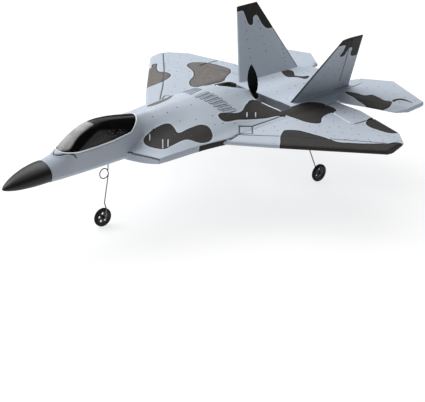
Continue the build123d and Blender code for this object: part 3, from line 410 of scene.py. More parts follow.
# ------------------------------------------------------------ fine outlines
def stadium(cx, cs, half_len, half_w, slope=0.0, n=10):
    """Closed loop with rounded ends, long axis along the body; (x, station)."""
    pts = []
    for i in range(n + 1):
        a = math.pi * i / n
        pts.append((cx + half_w * math.cos(a), cs + half_len - half_w + half_w * math.sin(a)))
    for i in range(n + 1):
        a = math.pi + math.pi * i / n
        pts.append((cx + half_w * math.cos(a), cs - half_len + half_w + half_w * math.sin(a)))
    return [(x + slope * (s - cs), s) for x, s in pts]


def closed_smooth(pts, sub=6):
    n = len(pts)
    ext = [pts[(i - 2) % n] for i in range(n + 5)]
    c = catmull(ext, sub)
    return c[2 * sub:(n + 2) * sub]


def sdf(px, py, poly):
    """Signed distance to a closed outline, negative inside."""
    poly = np.asarray(poly, float)
    best = np.full(px.shape, 1e9)
    inside = np.zeros(px.shape, bool)
    n = len(poly)
    for i in range(n):
        ax, ay = poly[i]
        bx, by = poly[(i + 1) % n]
        ex, ey = bx - ax, by - ay
        L = max(ex * ex + ey * ey, 1e-12)
        t = np.clip(((px - ax) * ex + (py - ay) * ey) / L, 0, 1)
        best = np.minimum(best, np.hypot(px - ax - t * ex, py - ay - t * ey))
        if abs(ey) > 1e-12:
            hit = ((ay > py) != (by > py)) & (px < ax + (py - ay) * ex / ey)
            inside ^= hit
    return np.where(inside, -best, best)


def path_dist(px, py, pts):
    best = np.full(px.shape, 1e9)
    for (ax, ay), (bx, by) in zip(pts, pts[1:]):
        ex, ey = bx - ax, by - ay
        L = max(ex * ex + ey * ey, 1e-12)
        t = np.clip(((px - ax) * ex + (py - ay) * ey) / L, 0, 1)
        best = np.minimum(best, np.hypot(px - ax - t * ex, py - ay - t * ey))
    return best


# ------------------------------------------------------------- paint scheme
# Dark patches in plan (x, station); both wings, body, tail.
PATCHES = [
    [(15.2, 117.5), (14.1, 122.9), (15.9, 141.9), (20.9, 143.2), (27.4, 142.2), (28.4, 152.0), (29.6, 163.1), (33.8, 167.2),
     (41.4, 165.3), (45.6, 159.4), (44.5, 151.1), (36.5, 141.8), (36.4, 129.5), (36.0, 121.0), (22.8, 115.8)],
    [(27.8, 183.5), (32.1, 202.6), (23.8, 216.6), (12.2, 234.9), (14.0, 246.0), (38.0, 246.0), (48.4, 237.3), (45.0, 234.0),
     (42.9, 220.2), (38.2, 196.1), (35.6, 183.2), (30.0, 181.6)],
    [(38.7, 258.4), (39.4, 270.0), (41.6, 275.2), (46.8, 281.8), (58.0, 284.0), (65.2, 280.5), (66.3, 267.4), (69.0, 259.6),
     (75.8, 249.8), (69.9, 244.4), (50.7, 241.7), (43.4, 239.7), (38.0, 246.0)],
    [(75.5, 205.7), (72.4, 209.5), (69.4, 214.0), (67.3, 218.5), (73.8, 225.9), (89.5, 230.2), (103.3, 232.7), (109.7, 233.2), (118.2, 239.4), (137.5, 258.8),
     (142.0, 267.8), (152.0, 270.0), (152.0, 235.0), (96.0, 186.0), (81.6, 199.7), (78.8, 202.4)],
    [(93.6, 288.7), (94.4, 293.0), (112.0, 296.0), (124.9, 289.0), (128.7, 281.9), (123.8, 276.7), (115.1, 275.2),
     (106.9, 274.8), (100.1, 277.9)],
    [(-102.0, 258.8), (-105.3, 266.3), (-97.0, 277.7), (-78.0, 283.0), (-66.3, 281.3), (-52.9, 262.7), (-46.0, 254.1),
     (-48.0, 240.0), (-55.8, 226.8), (-65.6, 230.9), (-77.1, 245.8), (-86.7, 252.8)],
    [(-120.4, 230.9), (-127.2, 238.4), (-125.4, 242.2), (-115.0, 234.0), (-105.9, 229.9), (-100.7, 232.9), (-92.2, 232.2),
     (-84.4, 219.8), (-82.5, 208.1), (-86.0, 192.0), (-124.0, 222.0)],
    [(-37.0, 241.0), (-43.5, 241.0), (-43.8, 249.3), (-41.0, 254.6), (-37.0, 256.3), (-30.0, 255.6), (-29.0, 249.0), (-33.0, 243.0)],
    [(-22.0, 158.0), (-29.0, 156.0), (-36.0, 163.0), (-37.0, 176.0), (-32.0, 186.0), (-26.0, 180.0), (-20.0, 170.0)],
    [(40.3, 318.4), (49.7, 322.8), (57.4, 324.0), (60.4, 329.9), (65.8, 330.0), (76.7, 327.8), (82.1, 330.1), (84.7, 327.7),
     (87.1, 321.8), (82.9, 313.6), (76.0, 308.0), (71.4, 311.4), (58.2, 312.9), (44.5, 315.4)],
    [(80.9, 332.2), (81.2, 339.5), (85.0, 342.6), (97.1, 340.8), (88.0, 339.6), (84.2, 337.3), (83.6, 331.0)],
    # deck patch between the fins: partly real dark paint; its trailing edge is widened over the shade near the fin root
    # as painted shadow
    [(-32.1, 310.7), (-30.1, 315.7), (-26.2, 319.4), (-19.5, 315.7), (-14.3, 311.4), (-8.3, 309.0), (-2.7, 310.5), (-1.7, 315.0),
     (1.1, 314.0), (3.2, 306.0), (-4.8, 303.8), (-13.0, 303.2), (-22.8, 306.0)],
]
# Fin patches in side view (station, waterline).
FIN_PATCH_IN = [(283.0, 62.0), (310.0, 62.0), (319.0, 37.0), (310.4, 37.0), (306.7, 40.5), (303.6, 48.9), (299.4, 48.2),
                (295.1, 42.7), (291.3, 43.4), (290.4, 50.8), (289.9, 54.5), (280.0, 55.0)]
FIN_PATCH_OUT = [(281.0, 54.0), (283.0, 62.0), (311.0, 62.0), (317.5, 43.9), (316.5, 36.9), (305.8, 39.6), (302.5, 47.5),
                 (298.7, 48.6), (296.6, 41.3), (291.3, 41.9), (292.3, 48.0), (290.7, 53.1)]
FIN_FOOT = [(296.0, -2.0), (300.0, 8.0), (309.0, 13.0), (318.0, 9.0), (327.0, 12.0), (336.0, 6.0), (336.0, -4.0)]
SIDE_STRIP = [(146.5, -7.5), (148.0, -0.6), (172.0, -0.6), (178.0, -7.5)]
SMOOTH_PATCHES = [closed_smooth(p) for p in PATCHES]


def camo(ob, kind):
    co, no = coords(ob), normals(ob)
    x, s, w = station(co)
    d = np.full(x.shape, 9.0)
    if kind == "fin":
        face = no[:, 0] * np.sign(x)
        inner = sdf(s, w, closed_smooth(FIN_PATCH_IN))
        outer = sdf(s, w, closed_smooth(FIN_PATCH_OUT))
        d = np.where(face > 0, outer, inner)
        foot = sdf(s, w, closed_smooth(FIN_FOOT))
        d = np.where((face > 0) & (x < 0), np.minimum(d, foot), d)
    else:
        for p in SMOOTH_PATCHES:
            lo, hi = p.min(0) - 9, p.max(0) + 9
            m = (x > lo[0]) & (x < hi[0]) & (s > lo[1]) & (s < hi[1])
            if m.any():
                d[m] = np.minimum(d[m], sdf(x[m], s[m], p))
        under = no[:, 2] < (-0.9 if kind == "wing" else -0.35)
        d = np.where(under, 9.0, d)
        if kind == "body":
            side = (np.abs(x) > 43.0) & (w < -0.2)
            q = sdf(s, w, SIDE_STRIP)
            d = np.where(side & (x > 0), np.minimum(np.where(under, 9.0, d), q), d)
    put(ob, "camo", np.clip(d, -9, 9))


def put(ob, name, values):
    a = ob.data.attributes.get(name) or ob.data.attributes.new(name, "FLOAT", "POINT")
    a.data.foreach_set("value", np.ascontiguousarray(values, dtype=np.float32))


# ------------------------------------------------------------- panel lines
def both(lines):
    return lines + [[(-x, s) for x, s in l] for l in lines]


WING_LINES = both([
    [(94.9, 271.8), (95.6, 282.0), (96.2, 294.0)],
    [(51.5, 174.6), (49.6, 185.2), (73.3, 207.6), (102.9, 233.1), (145.5, 266.0)],
    [(43.1, 192.3), (46.8, 202.8), (55.2, 195.1), (49.3, 186.7), (43.1, 192.3)],
    [(46.8, 202.8), (46.0, 238.0)],
])
TAIL_LINES = both([
    [(36.5, 332.8), (54.4, 331.5), (77.9, 329.2), (96.6, 338.1)],
])
FIN_LINES = [[(294.6, 60.0), (311.4, 11.0)]]
FIN_EDGES = [[(259.6, 2.2), (285.2, 58.4)], [(331.0, 2.2), (309.6, 58.4)]]
NOSE_ARC = [(0.0, 45.5), (2.6, 46.5), (5.0, 49.0), (7.2, 52.0), (9.3, 55.0), (11.2, 57.8)]


def groove(ob, lines, axes="xs", depth=0.42, width=0.5, gate=None, lip=0.0, mark=1.0):
    co, no = coords(ob), normals(ob)
    x, s, w = station(co)
    a, b = {"xs": (x, s), "sw": (s, w)}[axes]
    d = np.full(x.shape, 1e3)
    for l in lines:
        P = np.array(l, float)
        lo, hi = P.min(0) - 3, P.max(0) + 3
        m = (a > lo[0]) & (a < hi[0]) & (b > lo[1]) & (b < hi[1])
        if m.any():
            d[m] = np.minimum(d[m], path_dist(a[m], b[m], l))
    if gate is not None:
        d = np.where(gate(x, s, w, no), d, 1e3)
    f = np.exp(-(d / width) ** 2)
    g = depth * f - lip * np.exp(-((d - 1.3) / 0.5) ** 2)
    set_coords(ob, co - no * (g * MM)[:, None])
    old = np.zeros(len(d), np.float32)
    at = ob.data.attributes.get("line")
    if at:
        at.data.foreach_get("value", old)
    put(ob, "line", np.maximum(old, f * mark))


def path3(p, pts):
    best = np.full(len(p), 1e9)
    for a, b in zip(pts, pts[1:]):
        a, b = np.array(a, float), np.array(b, float)
        e = b - a
        t = np.clip(((p - a) @ e) / max(e @ e, 1e-12), 0, 1)
        best = np.minimum(best, np.linalg.norm(p - a - t[:, None] * e, axis=1))
    return best


def groove3(ob, paths, depth, width, lip=0.0, mark=1.0, off=1.3):
    """Groove and raised lips along paths given in space (x, s, wl)."""
    co, no = coords(ob), normals(ob)
    p = np.stack(station(co), 1)
    d = np.full(len(p), 1e3)
    for l in paths:
        q = np.array(l, float)
        m = ((p > q.min(0) - 4) & (p < q.max(0) + 4)).all(1)
        if m.any():
            d[m] = np.minimum(d[m], path3(p[m], l))
    f = np.exp(-(d / width) ** 2)
    set_coords(ob, co - no * ((depth * f - lip * np.exp(-((d - off) / 0.5) ** 2)) * MM)[:, None])
    old = np.zeros(len(d), np.float32)
    at = ob.data.attributes.get("line")
    if at:
        at.data.foreach_get("value", old)
    put(ob, "line", np.maximum(old, f * mark))


# --------------------------------------------------------------- materials
def lin(h, k=1.0):
    h = h.lstrip("#")
    out = []
    for i in (0, 2, 4):
        c = int(h[i:i + 2], 16) / 255
        out.append((c / 12.92 if c <= 0.04045 else ((c + 0.055) / 1.055) ** 2.4) * k)
    return tuple(out) + (1.0,)


class Mat:
    def __init__(self, name, rough=0.5, spec=0.5, metal=0.0, coat=0.0, coat_rough=0.1, ior=1.5):
        self.m = bpy.data.materials.new(name)
        self.m.use_nodes = True
        self.t = self.m.node_tree
        self.b = self.t.nodes["Principled BSDF"]
        self.b.inputs["Specular IOR Level"].default_value = spec
        self.b.inputs["Metallic"].default_value = metal
        self.b.inputs["Coat Weight"].default_value = coat
        self.b.inputs["Coat Roughness"].default_value = coat_rough
        self.b.inputs["IOR"].default_value = ior
        self.b.inputs["Roughness"].default_value = rough
        self.pos = self.n("ShaderNodeTexCoord").outputs["Object"]

    def n(self, kind, **kw):
        node = self.t.nodes.new(kind)
        for k, v in kw.items():
            setattr(node, k, v)
        return node

    def put(self, sock, v):
        if isinstance(v, bpy.types.NodeSocket):
            self.t.links.new(v, sock)
        else:
            sock.default_value = v

    def attr(self, name):
        return self.n("ShaderNodeAttribute", attribute_name=name).outputs["Fac"]

    def noise(self, size_mm, detail=3.0, rough=0.5, distortion=0.0, stretch=None):
        v = self.pos
        if stretch:
            mp = self.n("ShaderNodeMapping")
            mp.inputs["Scale"].default_value = stretch
            self.t.links.new(v, mp.inputs["Vector"])
            v = mp.outputs[0]
        k = self.n("ShaderNodeTexNoise")
        k.inputs["Scale"].default_value = 1000.0 / size_mm
        k.inputs["Detail"].default_value = detail
        k.inputs["Roughness"].default_value = rough
        k.inputs["Distortion"].default_value = distortion
        self.t.links.new(v, k.inputs["Vector"])
        return k.outputs["Fac"]

    def cells(self, size_mm, feature="F1", out="Distance", rand=1.0):
        k = self.n("ShaderNodeTexVoronoi", feature=feature)
        k.inputs["Scale"].default_value = 1000.0 / size_mm
        k.inputs["Randomness"].default_value = rand
        self.t.links.new(self.pos, k.inputs["Vector"])
        return k.outputs[out]

    def math(self, op, a, b=0.0, c=None, clamp=False):
        k = self.n("ShaderNodeMath", operation=op, use_clamp=clamp)
        self.put(k.inputs[0], a)
        self.put(k.inputs[1], b)
        if c is not None:
            self.put(k.inputs[2], c)
        return k.outputs[0]

    def span(self, v, a, b, lo=0.0, hi=1.0):
        k = self.n("ShaderNodeMapRange", clamp=True)
        self.put(k.inputs["Value"], v)
        for name, val in (("From Min", a), ("From Max", b), ("To Min", lo), ("To Max", hi)):
            k.inputs[name].default_value = val
        return k.outputs["Result"]

    def mix(self, f, a, b, blend="MIX"):
        k = self.n("ShaderNodeMix", data_type="RGBA", blend_type=blend)
        self.put(k.inputs[0], f)
        self.put(k.inputs[6], a)
        self.put(k.inputs[7], b)
        return k.outputs[2]

    def color(self, v):
        self.put(self.b.inputs["Base Color"], v)
        return self

    def rough(self, v):
        self.put(self.b.inputs["Roughness"], v)
        return self

    def bump(self, h, strength=0.3, dist_mm=0.1, base=None):
        k = self.n("ShaderNodeBump")
        k.inputs["Strength"].default_value = strength
        k.inputs["Distance"].default_value = dist_mm * MM
        self.put(k.inputs["Height"], h)
        if base is not None:
            self.t.links.new(base, k.inputs["Normal"])
        self.t.links.new(k.outputs[0], self.b.inputs["Normal"])
        return k.outputs[0]


def foam(name, has_camo=True, shade=1.0, tint="#B9C2CD"):
    """Moulded expanded foam with a sprayed finish: bead skin, patches with a darker edge and a pale halo."""
    m = Mat(name, 0.62, spec=0.12)
    base = lin(tint, shade * 0.85)
    big = m.noise(38, 3)
    small = m.noise(1.1, 2)
    c = m.mix(m.span(big, 0.3, 0.7), tuple(v * 0.955 for v in base[:3]) + (1,), tuple(min(v * 1.035, 1) for v in base[:3]) + (1,))
    bead = m.cells(2.3, out="Color")
    sep = m.n("ShaderNodeSeparateColor")
    m.t.links.new(bead, sep.inputs[0])
    c = m.mix(m.span(sep.outputs[0], 0, 1, 0.0, 0.10), c, tuple(v * 0.80 for v in base[:3]) + (1,))
    speck = m.span(m.cells(5.2), 0.055, 0.10, 0.45, 0.0)
    c = m.mix(speck, c, lin("#5A6068"))
    # the line attribute darkens panel lines and seams, and also carries painted shade: the propeller slot wall, the
    # louvre grooves and the intake mouth
    line = m.attr("line")
    c = m.mix(m.math("MULTIPLY", m.span(line, 0.25, 0.8), 0.88), c, lin("#2B3138"))
    if has_camo:
        d = m.math("ADD", m.attr("camo"), m.math("MULTIPLY", m.math("SUBTRACT", m.noise(7.0, 2), 0.5), 0.8))
        halo = m.math("MULTIPLY", m.span(d, 0.05, 0.5), m.span(d, 1.5, 0.8))
        c = m.mix(m.math("MULTIPLY", halo, 0.5), c, lin("#C0C7CE"))
        dark = m.mix(m.span(m.noise(5.5, 4, 0.6), 0.3, 0.7), lin("#2A2929"), lin("#33302E"))
        dark = m.mix(m.span(m.noise(60, 2), 0.4, 0.65, 0.0, 0.5), dark, lin("#36302E"))
        dark = m.mix(m.span(sep.outputs[1], 0, 1, 0.0, 0.25), dark, lin("#242322"))
        # painted sheen: patches on the starboard wing and on the starboard side of the hump are painted a lighter tan
        xyz = m.n("ShaderNodeSeparateXYZ")
        m.t.links.new(m.pos, xyz.inputs[0])
        far = m.math("MULTIPLY", m.span(xyz.outputs[0], -0.046, -0.056), m.span(xyz.outputs[2], (WL + 9) * MM, (WL + 5) * MM))
        fore = m.math("MULTIPLY", m.span(xyz.outputs[0], -0.014, -0.018), m.span(xyz.outputs[1], 0.016, 0.012))
        far = m.math("MAXIMUM", far, fore)
        dark = m.mix(far, dark, m.mix(m.span(sep.outputs[1], 0, 1), lin("#625F5D"), lin("#6E6A67")))
        edge = m.span(d, -1.5, -0.7)
        dark = m.mix(m.math("MULTIPLY", edge, 0.75), dark, lin("#1D1D1D"))
        dark = m.mix(m.math("MULTIPLY", m.span(line, 0.35, 0.95), 0.5), dark, lin("#1C1C1D"))
        c = m.mix(m.span(d, 0.15, -0.2), c, dark)
        m.rough(m.math("ADD", m.span(d, 0.2, -0.2, 0.60, 0.52), m.math("MULTIPLY", small, 0.10)))
    else:
        m.rough(m.math("ADD", 0.55, m.math("MULTIPLY", small, 0.12)))
    m.color(c)
    h1 = m.cells(2.3, "DISTANCE_TO_EDGE")
    n1 = m.bump(m.span(h1, 0.0, 0.14), 0.22, 0.10)
    m.bump(small, 0.16, 0.06, n1)
    return m.m


def plastic(name, col, rough=0.35, spec=0.5, coat=0.0, wear="#2A2B2D", grain=0.8, scuff=0.25, coat_rough=0.08):
    m = Mat(name, rough, spec=spec, coat=coat, coat_rough=coat_rough)
    n = m.noise(grain * 9, 4, 0.6)
    c = m.mix(m.span(n, 0.42, 0.74, 0.0, scuff), lin(col), lin(wear))
    m.color(c)
    m.rough(m.math("ADD", rough - 0.05, m.math("MULTIPLY", m.noise(grain * 4, 3), 0.12)))
    m.bump(m.noise(grain, 2), 0.10, 0.03)
    return m.m


def metal(name, col, rough=0.28, brushed=(1, 1, 1)):
    m = Mat(name, rough, metal=1.0)
    n = m.noise(2.4, 4, 0.6, stretch=brushed)
    m.color(m.mix(m.span(n, 0.3, 0.75), lin(col), tuple(v * 0.62 for v in lin(col)[:3]) + (1,)))
    m.rough(m.math("ADD", rough - 0.06, m.math("MULTIPLY", m.noise(1.1, 3, stretch=brushed), 0.2)))
    m.bump(m.noise(0.5, 2, stretch=brushed), 0.12, 0.02)
    return m.m


def bar(name, pts, r, n=16, flat=1.0, closed=False):
    """Round bar along points (x, s, wl) in mm, with domed ends."""
    P = [Vector(p) for p in pts]
    T = []
    m = len(P)
    for i in range(m):
        a = P[(i - 1) % m] if (i or closed) else P[0]
        b = P[(i + 1) % m] if (i < m - 1 or closed) else P[-1]
        T.append((b - a).normalized())
    ref = Vector((0, 0, 1)) if abs(T[0].z) < 0.9 else Vector((1, 0, 0))
    nrm = (ref - T[0] * ref.dot(T[0])).normalized()
    rings = []
    for i in range(m):
        if i:
            q = T[i - 1].rotation_difference(T[i])
            nrm = q @ nrm
            nrm = (nrm - T[i] * nrm.dot(T[i])).normalized()
        rings.append((P[i], T[i], nrm.copy(), 1.0))
    if not closed:
        caps0 = [(P[0] - T[0] * r * math.sin(a), T[0], rings[0][2], math.cos(a)) for a in (1.2, 0.8, 0.4)]
        caps1 = [(P[-1] + T[-1] * r * math.sin(a), T[-1], rings[-1][2], math.cos(a)) for a in (0.4, 0.8, 1.2)]
        rings = caps0 + rings + caps1
    verts, faces = [], []
    for p, t, u, k in rings:
        v = t.cross(u)
        for j in range(n):
            a = 2 * math.pi * j / n
            q = p + (u * math.cos(a) * flat + v * math.sin(a)) * r * k
            verts.append(pm(q.x, q.y, q.z))
    R = len(rings)
    for i in range(R if closed else R - 1):
        for j in range(n):
            a, b = i * n + j, i * n + (j + 1) % n
            c, d = ((i + 1) % R) * n + (j + 1) % n, ((i + 1) % R) * n + j
            faces.append((a, b, c, d))
    if not closed:
        faces.append(tuple(range(n))[::-1])
        faces.append(tuple(range((R - 1) * n, R * n)))
    ob = obj_from(name, verts, faces)
    recalc(ob)
    return ob



# ---------------------------------------------------------------- materials
FOAM = foam("foam_painted")
# lighter foam: a painted highlight on the raised louvre rims and ribs; the fin root fillets use it too
FOAM_PLAIN = foam("foam_rim", has_camo=False, tint="#C6CED7")
CONE = plastic("cone_black", "#070707", rough=0.42, spec=0.34, coat=0.05, wear="#1C1C1E", grain=1.2, coat_rough=0.3)
CANOPY = None
PROP = plastic("prop_black", "#030303", rough=0.42, spec=0.10, wear="#0B0B0C", grain=0.7)
RUBBER = plastic("tyre_black", "#0C0C0D", rough=0.72, spec=0.25, wear="#232221", grain=0.6, scuff=0.5)
HUB = plastic("wheel_black", "#0A0A0B", rough=0.32, spec=0.4, wear="#1C1C1E", grain=0.7)
STEEL = metal("wire_steel", "#6C6E72", 0.26, (1, 1, 0.15))
MOTOR_STEEL = metal("motor_steel", "#B4B7BA", 0.3, (1, 0.1, 1))
ZINC = metal("screw_zinc", "#A9ABAF", 0.3)
MAGNET = metal("magnet", "#C4C5C8", 0.2)
MOUNT = plastic("mount_black", "#161618", rough=0.45, grain=0.9)
NYLON = plastic("nylon_white", "#E4E3DC", rough=0.42, wear="#C7C2B6", grain=1.0, scuff=0.4)
SERVO = plastic("servo_blue", "#1F3E8C", rough=0.3, coat=0.3, wear="#14264F", grain=1.3)
WRAP = plastic("battery_wrap", "#2B62B5", rough=0.25, coat=0.6, wear="#1A3F7A", grain=2.0, scuff=0.35)
LEAD = plastic("lead_red", "#A91D1C", rough=0.45, wear="#6E1210", grain=0.9)
PLUG = plastic("plug_white", "#EDEBE4", rough=0.4, wear="#CFC9BC", grain=0.9, scuff=0.4)


def weave(name, col, dark, size, rough):
    m = Mat(name, rough, spec=0.5)
    w1 = m.n("ShaderNodeTexWave", wave_type="BANDS", bands_direction="DIAGONAL")
    w1.inputs["Scale"].default_value = 1000.0 / size / 6.283 * 3.14
    w1.inputs["Distortion"].default_value = 0.6
    m.t.links.new(m.pos, w1.inputs["Vector"])
    m.color(m.mix(m.math("MULTIPLY", w1.outputs["Fac"], m.noise(size * 3, 3)), lin(dark), lin(col)))
    m.rough(m.math("ADD", rough - 0.05, m.math("MULTIPLY", m.noise(size, 3), 0.15)))
    m.bump(w1.outputs["Fac"], 0.4, 0.08)
    return m.m


CARBON = weave("carbon", "#3A3B3E", "#0C0C0E", 0.9, 0.3)
STRAP = weave("strap", "#2C2C2E", "#0B0B0C", 0.6, 0.85)
PAD = plastic("pad_white", "#DADAD4", rough=0.9, spec=0.1, wear="#BDBCB4", grain=0.5, scuff=0.6)


def pcb():
    m = Mat("pcb_green", 0.3, spec=0.5, coat=0.4)
    v = m.cells(1.9, out="Color")
    sp = m.n("ShaderNodeSeparateColor")
    m.t.links.new(v, sp.inputs[0])
    k = m.n("ShaderNodeTexBrick")
    k.inputs["Scale"].default_value = 260
    k.inputs["Color1"].default_value = lin("#0F5A33")
    k.inputs["Color2"].default_value = lin("#0B4728")
    k.inputs["Mortar"].default_value = lin("#1C7A48")
    m.t.links.new(m.pos, k.inputs["Vector"])
    # chips stand above the board face
    geo = m.n("ShaderNodeSeparateXYZ")
    m.t.links.new(m.pos, geo.inputs[0])
    chip = m.span(geo.outputs[2], (WL - 6.15) * MM, (WL - 6.1) * MM)
    c = m.mix(m.span(sp.outputs[0], 0.80, 0.82), k.outputs["Color"], lin("#C9B458"))
    m.color(m.mix(chip, c, lin("#18191B")))
    m.rough(m.span(sp.outputs[1], 0, 1, 0.25, 0.45))
    m.bump(sp.outputs[0], 0.2, 0.05)
    return m.m


PCB = pcb()


def canopy_paint():
    """Gloss black moulding; pale windshield painted as a reflection on the black, dark grey side panes with faint
    cockpit detail, black frame.
    """
    m = Mat("canopy_black", 0.2, spec=0.10, coat=0.02, coat_rough=0.05)
    ws, sd = m.attr("shield"), m.attr("sidepane")
    black = m.mix(m.span(m.noise(6, 3), 0.3, 0.7), lin("#030303"), lin("#080808"))
    # painted reflection: the windshield area is painted pale grey
    shield = m.mix(m.span(m.noise(7, 3, 0.55), 0.3, 0.7), lin("#8E8F8F"), lin("#B0B0AD"))
    aft = m.attr("aft")
    pane = m.mix(aft, lin("#3A3A3B"), lin("#0B0B0C"))
    marks = m.math("MULTIPLY", m.span(m.noise(0.9, 2, 0.5, stretch=(1.0, 0.5, 1.0)), 0.56, 0.72), m.attr("fleck"))
    pane = m.mix(m.math("MULTIPLY", marks, 0.7), pane, lin("#8C8E90"))
    c = m.mix(m.span(sd, 0.4, -1.0), black, pane)
    c = m.mix(m.span(ws, 0.2, -1.3), c, shield)
    m.color(c)
    m.rough(m.span(m.noise(9, 3), 0.3, 0.7, 0.13, 0.21))
    return m.m


CANOPY = canopy_paint()


def skin(ob, mat):
    ob.data.materials.clear()
    ob.data.materials.append(mat)
    return ob


def fit(ob, nodes, body, mat=None, angle=35):
    if mat is not None:
        skin(ob, mat)
    smooth_shade(ob, angle)
    if nodes:
        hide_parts(*nodes)
    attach(ob, body)
    return ob


# ------------------------------------------------------------ foam mouldings
VOX = 0.5


def fin_solid(side, grow=0.0):
    src = bpy.data.objects["fin_left" if side > 0 else "fin_right"]
    c = bpy.data.objects.new("fin_cut", src.data.copy())
    S.collection.objects.link(c)
    return c


def cut(ob, *tools):
    for t in tools:
        boolean(ob, t, "DIFFERENCE")
    return ob


def tube_y(x, wl, r, s0, s1):
    return prism("tube", disc_pts(x, wl, r), s0, s1, "Y")


def tube_x(s, wl, r, x0, x1):
    return prism("tube", disc_pts(s, wl, r), x0, x1, "X")


def tube_z(x, s, r, w0, w1):
    return prism("tube", disc_pts(x, s, r), w0, w1)


def pockets(upper):
    out = []
    if upper:
        out += [box("c", -8.6, 8.6, 60.0, 105.5, -8.0, 30.0), box("c", -15, 15, 128.0, 208.0, -8.0, 9.0),
                box("c", -2.4, 2.4, 104.5, 129.0, -8.0, -1.0), tube_y(0, 2.0, 5.6, 207.0, 242.0),
                box("c", -5.6, 5.6, 224.0, 242.0, -12.0, 2.0)]
        out += [tube_z(0, 56.6, 1.4, 7.4, 9.4), tube_z(0, 107.3, 1.2, 9.9, 11.9)]
    else:
        out += [box("c", -8.6, 8.6, 60.0, 105.5, -8.4, 30.0), box("c", -15, 15, 128.0, 208.0, -9.7, 30.0),
                box("c", -2.4, 2.4, 104.5, 129.0, -8.0, 0.0), box("c", -4, 4, 90.0, 99.0, -14.0, -8.6)]
    for sd in (-1, 1):
        x0, x1 = sorted((sd * 39.8, sd * 51.0))
        out.append(box("c", x0, x1, 216.8, 234.2, -13.0, -0.8))
    out.append(tube_x(206.0, -3.4, 1.0, -60, 60))
    return out


def canopy_prism(line, name="canopy_zone"):
    return prism(name, line, -20, 20, "X")


# canopy: clean fine loft so that its gloss stays smooth
canopy = loft_body("canopy", FRONT, 36.0, 120.0, 12, 0.5, False)
core_table = []
for s_, h_ in FRONT:
    core_table.append((s_, [(max(x - 1.3, 0.0) if x > 0.01 else 0.0, z - 1.3) for x, z in h_[:8]] + [(9.0, -8.0), (6.0, -8.6), (3.0, -8.9), (0, -9.0)]))
core = loft_body("core", core_table, 53.0, 116.0, 6, 1.0, False)
boolean(canopy, canopy_prism(HATCH_LINE), "INTERSECT")
boolean(canopy, core, "DIFFERENCE")
for s_, r_, w0_, w1_ in ((56.6, 2.2, 9.5, 13.2), (107.3, 1.9, 11.6, 20.9)):
    boolean(canopy, tube_z(0, s_, r_, w0_, w1_), "UNION")
for s_, r_, w0_, w1_ in ((56.6, 1.4, 8.0, 10.3), (107.3, 1.2, 10.0, 12.4)):
    boolean(canopy, tube_z(0, s_, r_, w0_, w1_), "DIFFERENCE")

LOUVRES = [(sd * (4.2 + 4.1 * k), 185.6 + 0.30 * (4.2 + 4.1 * k), sd) for k in range(7) for sd in (1, -1)]
LOUVRE_GAPS = [stadium(x, c, 6.6, 1.28, 0.06 * sd) for x, c, sd in LOUVRES]


from mathutils.bvhtree import BVHTree


def tree_of(*obs):
    V, F = [], []
    for o in obs:
        b = len(V)
        V += [v.co.copy() for v in o.data.vertices]
        F += [[b + i for i in p.vertices] for p in o.data.polygons]
    return BVHTree.FromPolygons(V, F)


BODY_TREE = tree_of(BODY)


def dense(pts, step=0.7):
    out = [pts[0]]
    for a, b in zip(pts, pts[1:]):
        k = max(1, int(math.dist(a, b) / step))
        out += [tuple(a[i] + (b[i] - a[i]) * t / k for i in range(len(a))) for t in range(1, k + 1)]
    return out


# shadow line under the intake lip: on the face that looks forward
MOUTH = []
for x_, w_ in dense([(14.2, -3.3), (26.2, -2.15), (36.2, -1.25), (44.9, -0.75)]):
    h_ = BODY_TREE.ray_cast(pm(x_, 60.0, w_), Vector((0, 1, 0)))
    if h_[0] is not None and 96.0 < h_[0].y / MM + MID < 116.0:
        MOUTH.append((x_, h_[0].y / MM + MID, w_))
ARC = []
for x_, s_ in dense(NOSE_ARC):
    h_ = BODY_TREE.ray_cast(pm(x_, s_, 60.0), Vector((0, 0, -1)))
    ARC.append((x_, s_, h_[0].z / MM - WL))


def mirror_path(pts):
    return [(-p[0],) + tuple(p[1:]) for p in pts]


def mouth(side):
    return bar("mouth", MOUTH if side > 0 else mirror_path(MOUTH), 0.62, 12)


upper = duplicate(BODY, "foam_upper")
boolean(upper, split_zone("zone", True), "INTERSECT")
boolean(upper, canopy_prism(CANOPY_LINE), "DIFFERENCE")
cut(upper, *pockets(True))
cut(upper, fin_solid(1), fin_solid(-1), mouth(1), mouth(-1))
lower = duplicate(BODY, "foam_lower")
boolean(lower, split_zone("zone", False, -0.4), "INTERSECT")
boolean(lower, box("c", -70, 70, 240.999, 380.0, -40, 40), "DIFFERENCE")
cut(lower, *pockets(False))
cut(lower, mouth(1), mouth(-1))
under = duplicate(BODY, "foam_tail_underside")
boolean(under, split_zone("zone", False, -0.4), "INTERSECT")
boolean(under, box("c", -70, 70, -5.0, 242.0, -40, 40), "DIFFERENCE")
cut(under, box("c", 24.5, 31.5, 268.5, 275.5, -14, -5.6), box("c", -31.5, -24.5, 268.5, 275.5, -14, -5.6), fin_solid(1), fin_solid(-1))

for ob in (upper, lower, under):
    remesh(ob, VOX, 3)

top_gate = lambda x, s, w, no: no[:, 2] > 0.25
groove(upper, WING_LINES, gate=top_gate, depth=0.5, width=0.66)
# painted shade: the grooves round the louvres are darkened through the line attribute
groove(upper, [p + p[:1] for p in LOUVRE_GAPS], depth=0.45, width=0.38, gate=top_gate, mark=0.8)
groove3(upper, [ARC, mirror_path(ARC)], 0.8, 0.62, lip=0.3)
# painted shadow: a dark band along the intake mouth slot, with a raised lip beside it
for ob in (upper, lower):
    groove3(ob, [MOUTH, mirror_path(MOUTH)], 0.0, 0.95, lip=0.2, off=1.6)
